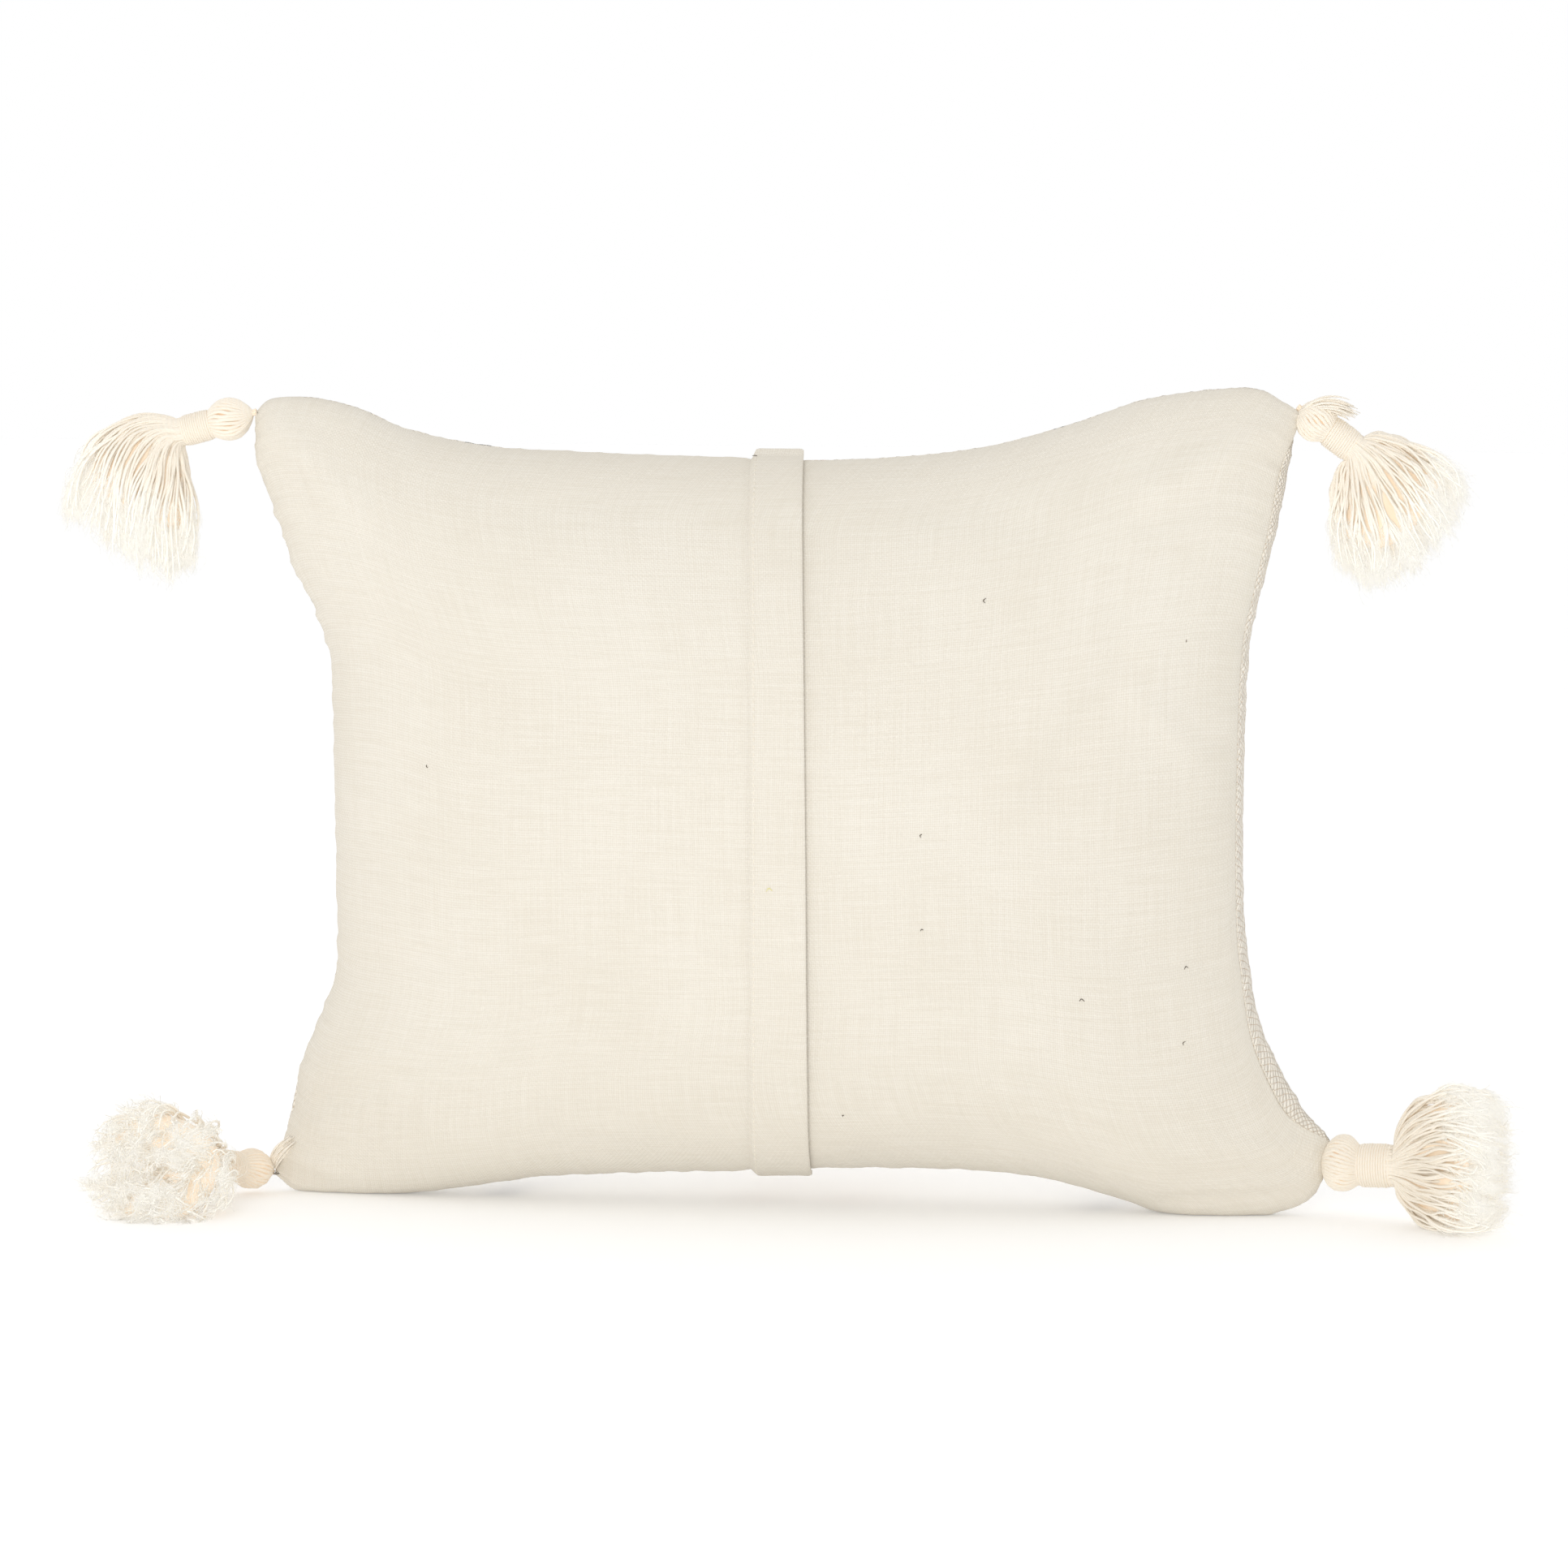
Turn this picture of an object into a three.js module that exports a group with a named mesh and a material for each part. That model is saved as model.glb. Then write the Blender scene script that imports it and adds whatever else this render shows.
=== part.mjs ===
// Throw pillow seen from its back: an envelope cover over a stuffed insert, a yarn tassel on each corner.
// Millimetres. +X is to the right of someone facing the back, +Y goes through to the patterned front,
// +Z is up.
// The pillow stands on its lower edge. The origin is on the floor, below the middle of the whole piece.
import * as THREE from 'three';

// Overall form of the filled pillow
const crownHeight = { back: 80, front: 82 };   // how far each face stands from the seams at its middle
const halfWidth = 245;                    // used to turn an inset in millimetres into a share of the form
const halfHeight = 185;
const middleHeight = 187;                 // height of the form's centre above the floor
const seamGap = 0.3;                      // between two pieces sewn edge to edge
const settleHeight = 12;                  // cloth lower than this is pressed down by the pillow's weight
const restHeight = 5;                     // and cloth that would lie lower than this lies flat on the floor

// Corners of the cover, as [x, z]
const corner = {
  bottomLeft: [-238, 8],
  bottomRight: [258.5, 29.5],
  topLeft: [-245.5, 367],
  topRight: [237, 370.5],
};

// How far each edge is drawn in from the line between its corners, as [share of the edge, millimetres]
const drawIn = {
  bottom: [[0, 0], [0.02, -7], [0.065, -9.3], [0.13, -9.5], [0.205, -6.7], [0.28, -2.2],
    [0.45, -1.5], [0.60, -2.9], [0.67, -4.5], [0.735, -9], [0.795, -18], [0.85, -26.3],
    [0.90, -28], [0.955, -25.5], [1, 0]],
  top: [[0, 0], [0.015, -6], [0.055, -7], [0.10, -2], [0.15, 8], [0.25, 16.5], [0.45, 21],
    [0.58, 21], [0.70, 15.5], [0.79, 4], [0.85, -6], [0.91, -10.7], [0.965, -11], [1, 0]],
  left: [[0, 0], [0.055, 6], [0.16, 15.7], [0.22, 25.5], [0.275, 32], [0.40, 33.2],
    [0.58, 33.3], [0.69, 32], [0.75, 24.3], [0.805, 15], [0.87, 7.7], [0.94, -1], [1, 0]],
  right: [[0, 0], [0.02, 0], [0.055, 10], [0.125, 22.5], [0.19, 30.5], [0.26, 33.5], [0.34, 35],
    [0.52, 32.2], [0.70, 26.5], [0.78, 19], [0.86, 11], [1, 0]],
};

// Cloth thicknesses, and the depth below the cover's outer face at which each layer lies
const backCloth = 1.2;
const frontCloth = 2.0;
const hemRise = 1.0;                      // the folded hem stands this much above the single cloth
const underlapInset = backCloth + seamGap;
const hemThread = { inset: 3.0, thickness: 0.5, halfAngle: 0.25 };
const casing = { edgeInset: 7.5, depthInset: 4.0, cloth: 1.2 };
const filling = { edgeInset: 12.5, depthInset: 5.6 };
const coverSeam = { inset: 4.6, radius: 0.5, reach: 56 };
const insertSeam = { inset: 10.8, radius: 0.5, reach: 54 };
const threadSides = 6;
const threadSteps = 22;

// Where the envelope closure's lines run, as a share of the half width from the centre line
const closure = { underlapEdge: -0.33, crease: -0.055, hemTop: -0.0455, freeEdge: 0.06, risen: 0.117 };
const stitchLine = { flap: -0.0375, underlap: -0.31 };
const flapEnd = 0.6;                      // the flap lifts between these shares of the half height
const stitchMargin = { flap: 0.1, underlap: 0.26 };  // angle left unstitched at the ends, in radians

const colours = {
  backCloth: 0xe9e2d3,
  frontCloth: 0xe8dfcc,
  thread: 0xf3eee2,
  casing: 0xf4f2ee,
  filling: 0xfbfbfa,
  yarn: 0xf4ead8,
};

function cloth(colour) {
  return new THREE.MeshStandardMaterial({ color: colour, roughness: 0.95, metalness: 0 });
}

const materials = Object.fromEntries(Object.entries(colours).map(([name, colour]) => [name, cloth(colour)]));

// A smooth curve through knots [t, value]: cubic pieces whose slopes are taken from the knots either side
function smoothThrough(knots) {
  const slope = (k) => {
    const [t0, v0] = knots[Math.max(k - 1, 0)];
    const [t1, v1] = knots[Math.min(k + 1, knots.length - 1)];
    return (v1 - v0) / (t1 - t0);
  };
  return (t) => {
    let k = knots.findIndex(([knotT]) => knotT >= t) - 1;
    k = Math.max(k, 0);
    const [t0, v0] = knots[k];
    const [t1, v1] = knots[k + 1];
    const span = t1 - t0;
    const s = (t - t0) / span;
    const s2 = s * s;
    const s3 = s2 * s;
    return (2 * s3 - 3 * s2 + 1) * v0 + (s3 - 2 * s2 + s) * span * slope(k)
      + (3 * s2 - 2 * s3) * v1 + (s3 - s2) * span * slope(k + 1);
  };
}

// An edge of the cover: the straight line between two corners, drawn in towards the middle of the pillow
function edgeCurve(from, to, knots, inward) {
  const inset = smoothThrough(knots);
  const line = new THREE.Vector2(to[0] - from[0], to[1] - from[1]);
  const normal = new THREE.Vector2(-line.y, line.x).normalize();
  normal.multiplyScalar(Math.sign(normal.dot(inward)));
  return (t) => new THREE.Vector2(...from).addScaledVector(line, t).addScaledVector(normal, inset(t));
}

const edges = {
  bottom: edgeCurve(corner.bottomLeft, corner.bottomRight, drawIn.bottom, new THREE.Vector2(0, 1)),
  top: edgeCurve(corner.topLeft, corner.topRight, drawIn.top, new THREE.Vector2(0, -1)),
  left: edgeCurve(corner.bottomLeft, corner.topLeft, drawIn.left, new THREE.Vector2(1, 0)),
  right: edgeCurve(corner.bottomRight, corner.topRight, drawIn.right, new THREE.Vector2(-1, 0)),
};

// The cover seen flat on: a patch blended from its four edges, with across and up from 0 to 1
function patch(across, up) {
  const blended = edges.bottom(across).multiplyScalar(1 - up)
    .addScaledVector(edges.top(across), up)
    .addScaledVector(edges.left(up), 1 - across)
    .addScaledVector(edges.right(up), across);
  const weights = [
    [corner.bottomLeft, (1 - across) * (1 - up)],
    [corner.bottomRight, across * (1 - up)],
    [corner.topLeft, (1 - across) * up],
    [corner.topRight, across * up],
  ];
  weights.forEach(([point, weight]) => blended.sub(new THREE.Vector2(...point).multiplyScalar(weight)));
  return blended;
}

// The height of cloth that the pillow's weight presses towards the floor
function settled(z) {
  return Math.max(0, Math.min(z, (z - restHeight) * settleHeight / (settleHeight - restHeight)));
}

// A point of the pillow's skin. The angles run from -90 to 90 degrees across and up; the crown is the
// product of their cosines. The inset layers are the same form made smaller about its centre.
function skinPoint(acrossAngle, upAngle, side, edgeInset, depthInset) {
  const flat = patch((Math.sin(acrossAngle) + 1) / 2, (Math.sin(upAngle) + 1) / 2);
  const highest = side < 0 ? crownHeight.back : crownHeight.front;
  const crown = highest * Math.cos(acrossAngle) * Math.cos(upAngle);
  return new THREE.Vector3(
    flat.x * (1 - edgeInset / halfWidth),
    side * (seamGap / 2 + crown) * (1 - depthInset / highest),
    middleHeight + (settled(flat.y) - middleHeight) * (1 - edgeInset / halfHeight),
  );
}

const degrees = (list) => list.map(THREE.MathUtils.degToRad);
const shareAngle = (share) => Math.asin(share);
const leftAngles = degrees([-90, -79, -68, -57, -46, -36, -27]);
const rightAngles = degrees([17, 27, 37, 47, 57, 68, 79, 90]);
const overlapAngles = [closure.underlapEdge, (closure.underlapEdge + closure.crease) / 2, closure.crease,
  closure.hemTop, closure.freeEdge, closure.risen].map(shareAngle);
const allColumns = [...leftAngles, ...overlapAngles, ...rightAngles];

// Rows of the grid; the two at the ends of the flap can be moved apart to leave a gap there
function rowAngles(flapRowShift = 0) {
  const end = shareAngle(flapEnd) + flapRowShift;
  const upper = [...degrees([12, 24]), end, ...degrees([48, 59, 70, 80, 90])];
  return [...upper.slice().reverse().map((angle) => -angle), 0, ...upper];
}

// A closed shell over a grid: an outer and an inner face, joined by a wall along every open edge.
// Faces point to the back when facesBack is true. keep(column, row) says which cells there are.
function shellGeometry(columns, rows, outerAt, innerAt, facesBack, keep = () => true) {
  const positions = [];
  const index = [];
  const known = new Map();
  const isCell = (i, j) => i >= 0 && j >= 0 && i < columns.length - 1 && j < rows.length - 1 && keep(i, j);
  const vertex = (face, [i, j]) => {
    const key = `${face === outerAt ? 'outer' : 'inner'} ${i} ${j}`;
    if (!known.has(key)) {
      known.set(key, positions.length / 3);
      positions.push(...face(columns[i], rows[j]).toArray());
    }
    return known.get(key);
  };
  const quad = (a, b, c, d) => index.push(a, b, c, a, c, d);
  for (let i = 0; i < columns.length - 1; i += 1) {
    for (let j = 0; j < rows.length - 1; j += 1) {
      if (!isCell(i, j)) continue;
      let loop = [[i, j], [i + 1, j], [i + 1, j + 1], [i, j + 1]];
      let beside = [[i, j - 1], [i + 1, j], [i, j + 1], [i - 1, j]];
      if (!facesBack) {
        loop = [loop[0], loop[3], loop[2], loop[1]];
        beside = beside.reverse();
      }
      const outer = loop.map((place) => vertex(outerAt, place));
      const inner = loop.map((place) => vertex(innerAt, place));
      quad(...outer);
      quad(...inner.slice().reverse());
      beside.forEach(([besideI, besideJ], k) => {
        const next = (k + 1) % 4;
        if (!isCell(besideI, besideJ)) quad(outer[next], outer[k], inner[k], inner[next]);
      });
    }
  }
  const geometry = new THREE.BufferGeometry();
  geometry.setAttribute('position', new THREE.Float32BufferAttribute(positions, 3));
  geometry.setIndex(index);
  geometry.computeVertexNormals();
  return geometry;
}

const pillow = new THREE.Group();

function add(name, geometry, material, parent = pillow) {
  const mesh = new THREE.Mesh(geometry, material);
  mesh.name = name;
  parent.add(mesh);
  return mesh;
}

// The inner face of the back cloth where its outer face lies at an inset
function outerToInner(across, up, inset) {
  return skinPoint(across, up, -1, inset + backCloth, inset + backCloth);
}

// The front panel, one piece of heavy patterned weave
function frontPanel() {
  const outer = (across, up) => skinPoint(across, up, 1, 0, 0);
  const inner = (across, up) => skinPoint(across, up, 1, frontCloth, frontCloth);
  return shellGeometry(allColumns, rowAngles(), outer, inner, false);
}

// How high the left panel's outer face stands: single cloth, then the folded hem
function hemInset(across) {
  return across > shareAngle(closure.crease) + 1e-6 ? -hemRise : 0;
}

// The left back panel with its hem, less the middle stretch of hem, which lifts as the closure flap
function backPanelLeft() {
  const gap = seamGap / (halfHeight * Math.cos(shareAngle(flapEnd)));
  const rows = rowAngles(gap);
  const columns = allColumns.filter((angle) => angle < shareAngle(closure.freeEdge) + 1e-6);
  const crease = columns.indexOf(shareAngle(closure.crease));
  const farthest = (j) => Math.max(Math.abs(rows[j]), Math.abs(rows[j + 1]));
  const inFlap = (i, j) => i >= crease && farthest(j) < shareAngle(flapEnd) + 2 * gap;
  const outer = (across, up) => skinPoint(across, up, -1, hemInset(across), hemInset(across));
  const inner = (across, up) => outerToInner(across, up, 0);
  return shellGeometry(columns, rows, outer, inner, true, (i, j) => !inFlap(i, j));
}

// The middle stretch of the hem, free to lift off the panel below
function closureFlap() {
  const start = shareAngle(closure.crease) + seamGap / halfWidth;
  const columns = [start, shareAngle(closure.hemTop), shareAngle(closure.freeEdge)];
  const rows = rowAngles().filter((angle) => Math.abs(angle) < shareAngle(flapEnd) + 1e-6);
  const rise = (across) => (across > start ? -hemRise : 0);
  const outer = (across, up) => skinPoint(across, up, -1, rise(across), rise(across));
  const inner = (across, up) => outerToInner(across, up, 0);
  return shellGeometry(columns, rows, outer, inner, true);
}

// The right back panel, which dips to pass under the left one
function backPanelRight() {
  const columns = allColumns.filter((angle) => angle > shareAngle(closure.underlapEdge) - 1e-6);
  const sink = (across) => (across < shareAngle(closure.risen) - 1e-6 ? underlapInset : 0);
  const outer = (across, up) => skinPoint(across, up, -1, sink(across), sink(across));
  const inner = (across, up) => outerToInner(across, up, sink(across));
  return shellGeometry(columns, rowAngles(), outer, inner, true);
}

// A row of stitches along a hem, as a narrow raised ribbon of thread on one face of the cloth
function hemStitches(share, top, bottom, rows) {
  const middle = shareAngle(share);
  const half = THREE.MathUtils.degToRad(hemThread.halfAngle);
  const outer = (across, up) => skinPoint(across, up, -1, top, top);
  const inner = (across, up) => skinPoint(across, up, -1, bottom, bottom);
  return shellGeometry([middle - half, middle + half], rows, outer, inner, true);
}

// Thread along one seam, inside the cover, as a thin tube through points of the shrunken edge
function seamThread(side, seam) {
  const edge = edges[side];
  const reach = THREE.MathUtils.degToRad(seam.reach);
  const upright = side === 'left' || side === 'right';
  const inner = (upright ? rowAngles() : allColumns).filter((angle) => Math.abs(angle) < reach);
  const points = [-reach, ...inner, reach].map((angle) => {
    const flat = edge((Math.sin(angle) + 1) / 2);
    return new THREE.Vector3(
      flat.x * (1 - seam.inset / halfWidth),
      0,
      middleHeight + (settled(flat.y) - middleHeight) * (1 - seam.inset / halfHeight),
    );
  });
  const ring = Array.from({ length: threadSides }, (_, k) => {
    const turn = (k / threadSides) * 2 * Math.PI;
    return new THREE.Vector2(seam.radius * Math.cos(turn), seam.radius * Math.sin(turn));
  });
  return new THREE.ExtrudeGeometry(new THREE.Shape(ring), {
    steps: threadSteps,
    bevelEnabled: false,
    extrudePath: new THREE.CatmullRomCurve3(points),
  });
}

// One half of the insert's plain casing, or the loose fibre inside it
function casingHalf(side) {
  const outer = (across, up) => skinPoint(across, up, side, casing.edgeInset, casing.depthInset);
  const inner = (across, up) => skinPoint(across, up, side, casing.edgeInset + casing.cloth,
    casing.depthInset + casing.cloth);
  return shellGeometry(allColumns, rowAngles(), outer, inner, side < 0);
}

function fibreFilling() {
  const face = (side) => (across, up) => skinPoint(across, up, side, filling.edgeInset, filling.depthInset);
  return shellGeometry(allColumns, rowAngles(), face(-1), face(1), true);
}

add('front_panel', frontPanel(), materials.frontCloth);
add('back_panel_left', backPanelLeft(), materials.backCloth);
add('closure_flap', closureFlap(), materials.backCloth);
add('back_panel_right', backPanelRight(), materials.backCloth);
const flapRows = rowAngles().filter((angle) => Math.abs(angle) < shareAngle(flapEnd) - stitchMargin.flap);
add('flap_hem_stitches', hemStitches(stitchLine.flap, -hemRise - seamGap - hemThread.thickness,
  -hemRise - seamGap, flapRows), materials.thread);
const innerRows = rowAngles().filter((angle) => Math.abs(angle) < Math.PI / 2 - stitchMargin.underlap);
add('underlap_hem_stitches', hemStitches(stitchLine.underlap, hemThread.inset,
  hemThread.inset + hemThread.thickness, innerRows), materials.thread);
for (const side of Object.keys(edges)) {
  add(`cover_seam_${side}`, seamThread(side, coverSeam), materials.thread);
}
add('insert_casing_back', casingHalf(-1), materials.casing);
add('insert_casing_front', casingHalf(1), materials.casing);
add('insert_seam_bottom', seamThread('bottom', insertSeam), materials.thread);
add('insert_seam_top', seamThread('top', insertSeam), materials.thread);
add('fibre_filling', fibreFilling(), materials.filling);

// Tassels. Each hangs on a tie at its corner; its head and neck binding are turned about the axis, and the
// skirt of loose yarn follows a bend of its own.
const tie = { start: 0.8, end: 4.2, radius: 1.3 };
const pieceGap = 0.4;
const bindingWall = 1.9;
const skirtStart = 1.6;                   // clear of the binding, so that the skirt can droop
const skirtSides = 14;
const latheSides = 18;

const tassels = {
  top_left: {
    at: [-246, 0, 367], axis: [-0.965, 0, -0.26], head: { length: 15, radius: 9.6 },
    binding: { length: 16, radius: 7.2 }, bend: [-303, 0, 353], end: [-308, 0, 304],
    across: [0, 1, 0], halfWidth: 32, halfThickness: 20,
  },
  top_right: {
    at: [237.8, 0, 370.5], axis: [0.82, 0, -0.57], head: { length: 14, radius: 9.4 },
    binding: { length: 15, radius: 6.9 }, bend: [276, 0, 336], end: [290, 0, 308],
    across: [0, 1, 0], halfWidth: 29, halfThickness: 20,
  },
  bottom_left: {
    at: [-239, 0, 9], axis: [-0.58, -0.78, 0.22], head: { length: 14, radius: 9.4 },
    binding: { length: 15, radius: 7.0 }, bend: [-267, -40, 24], end: [-278, -73.5, 28.5],
    across: [0, 0, 1], halfWidth: 35, halfThickness: 25,
  },
  bottom_right: {
    at: [258.8, 0, 30], axis: [0.95, -0.31, -0.03], head: { length: 8, radius: 11.5 },
    binding: { length: 16, radius: 9.2 }, bend: [303, -18, 32], end: [323.7, -32, 35.5],
    across: [0, 0, 1], halfWidth: 26, halfThickness: 31,
  },
};

// A solid of revolution about +Y. Its profile of [radius, height] starts and ends on the axis, or closes.
function turned(profile) {
  const points = profile.map(([radius, height]) => new THREE.Vector2(radius, height));
  return new THREE.LatheGeometry(points, latheSides);
}

function headGeometry({ length, radius }, core, end) {
  const from = tie.end + pieceGap;
  return turned([
    [0, from], [radius * 0.45, from + length * 0.05], [radius * 0.85, from + length * 0.25],
    [radius, from + length * 0.52], [radius * 0.88, from + length * 0.8], [core + 0.8, from + length],
    [core, from + length + 0.6], [core, end], [0, end],
  ]);
}

function bindingGeometry({ length, radius }, from) {
  const inner = radius - bindingWall;
  return turned([
    [inner, from], [inner + 1, from], [radius * 0.97, from + 1.2], [radius, from + length * 0.5],
    [radius * 0.97, from + length - 1.2], [inner + 1, from + length], [inner, from + length], [inner, from],
  ]);
}

// The skirt: ellipses set along a curved path, growing from the neck to the cut ends, closed at both ends.
// Shares of the path against shares of the full width give its outline.
const skirtProfile = [[0, 0.09], [0.05, 0.2], [0.14, 0.36], [0.3, 0.58], [0.48, 0.8], [0.68, 0.95], [0.86, 1],
  [0.96, 0.93], [1, 0.8]];

function skirtGeometry({ bend, end, across, halfWidth, halfThickness }, start) {
  const path = new THREE.QuadraticBezierCurve3(start, new THREE.Vector3(...bend), new THREE.Vector3(...end));
  const positions = [];
  skirtProfile.forEach(([along, share]) => {
    const centre = path.getPoint(along);
    const tangent = path.getTangent(along);
    const wide = new THREE.Vector3(...across).cross(tangent).normalize();
    const thick = tangent.clone().cross(wide);
    for (let k = 0; k < skirtSides; k += 1) {
      const turn = (k / skirtSides) * 2 * Math.PI;
      const point = centre.clone()
        .addScaledVector(wide, Math.cos(turn) * halfWidth * share)
        .addScaledVector(thick, Math.sin(turn) * halfThickness * share);
      positions.push(...point.toArray());
    }
  });
  const first = positions.length / 3;
  positions.push(...path.getPoint(0).toArray(), ...path.getPoint(1).toArray());
  const index = [];
  const rings = skirtProfile.length;
  for (let k = 0; k < skirtSides; k += 1) {
    const next = (k + 1) % skirtSides;
    for (let ring = 0; ring < rings - 1; ring += 1) {
      const a = ring * skirtSides;
      const b = a + skirtSides;
      index.push(a + k, a + next, b + next, a + k, b + next, b + k);
    }
    index.push(first, next, k);
    index.push(first + 1, (rings - 1) * skirtSides + k, (rings - 1) * skirtSides + next);
  }
  const geometry = new THREE.BufferGeometry();
  geometry.setAttribute('position', new THREE.Float32BufferAttribute(positions, 3));
  geometry.setIndex(index);
  geometry.computeVertexNormals();
  return geometry;
}

function addTassel(name, spec) {
  const axis = new THREE.Vector3(...spec.axis).normalize();
  const onAxis = new THREE.Group();
  onAxis.position.set(...spec.at);
  onAxis.quaternion.setFromUnitVectors(new THREE.Vector3(0, 1, 0), axis);
  pillow.add(onAxis);
  const bindingFrom = tie.end + pieceGap + spec.head.length + 1;
  const neckEnd = bindingFrom + spec.binding.length;
  const core = spec.binding.radius - bindingWall - pieceGap;
  add(`tassel_${name}_tie`, turned([[0, tie.start], [tie.radius, tie.start], [tie.radius, tie.end],
    [0, tie.end]]), materials.yarn, onAxis);
  add(`tassel_${name}_head`, headGeometry(spec.head, core, neckEnd), materials.yarn, onAxis);
  add(`tassel_${name}_binding`, bindingGeometry(spec.binding, bindingFrom), materials.yarn, onAxis);
  const start = new THREE.Vector3(...spec.at).addScaledVector(axis, neckEnd + skirtStart);
  add(`tassel_${name}_skirt`, skirtGeometry(spec, start), materials.yarn);
}

for (const [name, spec] of Object.entries(tassels)) addTassel(name, spec);

export default pillow;
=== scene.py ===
import math

import bpy
import numpy as np
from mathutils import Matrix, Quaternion, Vector


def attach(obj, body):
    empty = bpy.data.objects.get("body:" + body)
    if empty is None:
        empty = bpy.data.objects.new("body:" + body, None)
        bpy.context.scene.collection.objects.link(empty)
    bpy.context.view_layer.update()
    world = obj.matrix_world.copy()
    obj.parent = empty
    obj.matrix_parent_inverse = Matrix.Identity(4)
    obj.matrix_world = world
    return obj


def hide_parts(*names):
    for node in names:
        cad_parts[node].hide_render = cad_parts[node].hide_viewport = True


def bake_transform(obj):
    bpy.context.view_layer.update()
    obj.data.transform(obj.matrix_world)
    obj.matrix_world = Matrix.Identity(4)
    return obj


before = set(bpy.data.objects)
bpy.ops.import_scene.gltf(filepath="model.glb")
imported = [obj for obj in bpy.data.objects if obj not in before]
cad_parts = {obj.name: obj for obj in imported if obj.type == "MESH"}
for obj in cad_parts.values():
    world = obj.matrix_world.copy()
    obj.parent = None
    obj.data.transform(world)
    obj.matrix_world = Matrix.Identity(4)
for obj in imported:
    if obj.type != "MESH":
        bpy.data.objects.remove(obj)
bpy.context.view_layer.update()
mm = 0.001
fullTurn = 2 * math.pi
halfRoot = 0.7071                                 # sine of 45 degrees, for yarns that lie on a slant
print("frame loaded:", len(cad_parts), "nodes")


camera = {
    "target": (0.0027, 0.0, 0.197), "distance": 2.0, "azimuth": 5.0, "elevation": 5.0, "roll": 0.5,
    "lens": 98.8, "sensor": 36.0,
}
studio = {
    "skyFront": (0.56, 0.56, 0.56), "skyBehind": (1.0, 1.0, 1.0), "skyTurn": (-0.95, 0.1),
    "floorColour": (0.985, 0.985, 0.985), "floorGlow": 0.12, "floorReach": 40.0,
    "key": {"at": (-0.4, -2.95, 0.75), "size": 1.2, "power": 29.0, "colour": (1.0, 0.99, 0.97)},
    "fill": {"at": (0.9, -2.6, 0.3), "size": 1.6, "power": 3.0, "colour": (1.0, 0.99, 0.97)},
}


def makeCamera(spec):
    a, e = math.radians(spec["azimuth"]), math.radians(spec["elevation"])
    back = Vector((math.sin(a) * math.cos(e), -math.cos(a) * math.cos(e), math.sin(e)))
    data = bpy.data.cameras.new("camera")
    data.lens, data.sensor_width = spec["lens"], spec["sensor"]
    data.clip_start, data.clip_end = 0.05, 60.0
    made = bpy.data.objects.new("camera", data)
    bpy.context.scene.collection.objects.link(made)
    made.location = Vector(spec["target"]) + back * spec["distance"]
    made.rotation_mode = "QUATERNION"
    roll = Quaternion((0, 0, 1), math.radians(spec["roll"]))
    made.rotation_quaternion = (-back).to_track_quat("-Z", "Y") @ roll
    bpy.context.scene.camera = made


def makeLamp(name, spec, target):
    data = bpy.data.lights.new(name, "AREA")
    data.shape, data.size = "DISK", spec["size"]
    data.energy, data.color = spec["power"], spec["colour"]
    lamp = bpy.data.objects.new(name, data)
    bpy.context.scene.collection.objects.link(lamp)
    lamp.location = spec["at"]
    aim = Vector(target) - Vector(spec["at"])
    lamp.rotation_mode = "QUATERNION"
    lamp.rotation_quaternion = aim.to_track_quat("-Z", "Y")


def makeStudio(spec):
    bpy.context.scene.view_settings.view_transform = "Standard"
    world = bpy.data.worlds.new("studio")
    world.use_nodes = True
    # soft light all round, brighter behind the object, where the backdrop is
    n = Nodes(world.node_tree)
    behind = n.between(n.split(n.coordinates("Generated"))[1], *spec["skyTurn"])
    sky = n.mixed(behind, spec["skyFront"], spec["skyBehind"])
    n.link(sky, world.node_tree.nodes["Background"].inputs["Color"])
    bpy.context.scene.world = world
    makeLamp("keyLight", spec["key"], camera["target"])
    makeLamp("fillLight", spec["fill"], camera["target"])
    r = spec["floorReach"]
    mesh = bpy.data.meshes.new("floor")
    mesh.from_pydata([(-r, -r, 0), (r, -r, 0), (r, r, 0), (-r, r, 0)], [], [(0, 1, 2, 3)])
    floor = bpy.data.objects.new("floor", mesh)
    bpy.context.scene.collection.objects.link(floor)
    material = bpy.data.materials.new("paleFloor")
    material.use_nodes = True
    shader = material.node_tree.nodes["Principled BSDF"]
    shader.inputs["Base Color"].default_value = (*spec["floorColour"], 1.0)
    shader.inputs["Roughness"].default_value = 0.9
    shader.inputs["Emission Color"].default_value = (1.0, 1.0, 1.0, 1.0)
    shader.inputs["Emission Strength"].default_value = spec["floorGlow"]
    mesh.materials.append(material)


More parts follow.
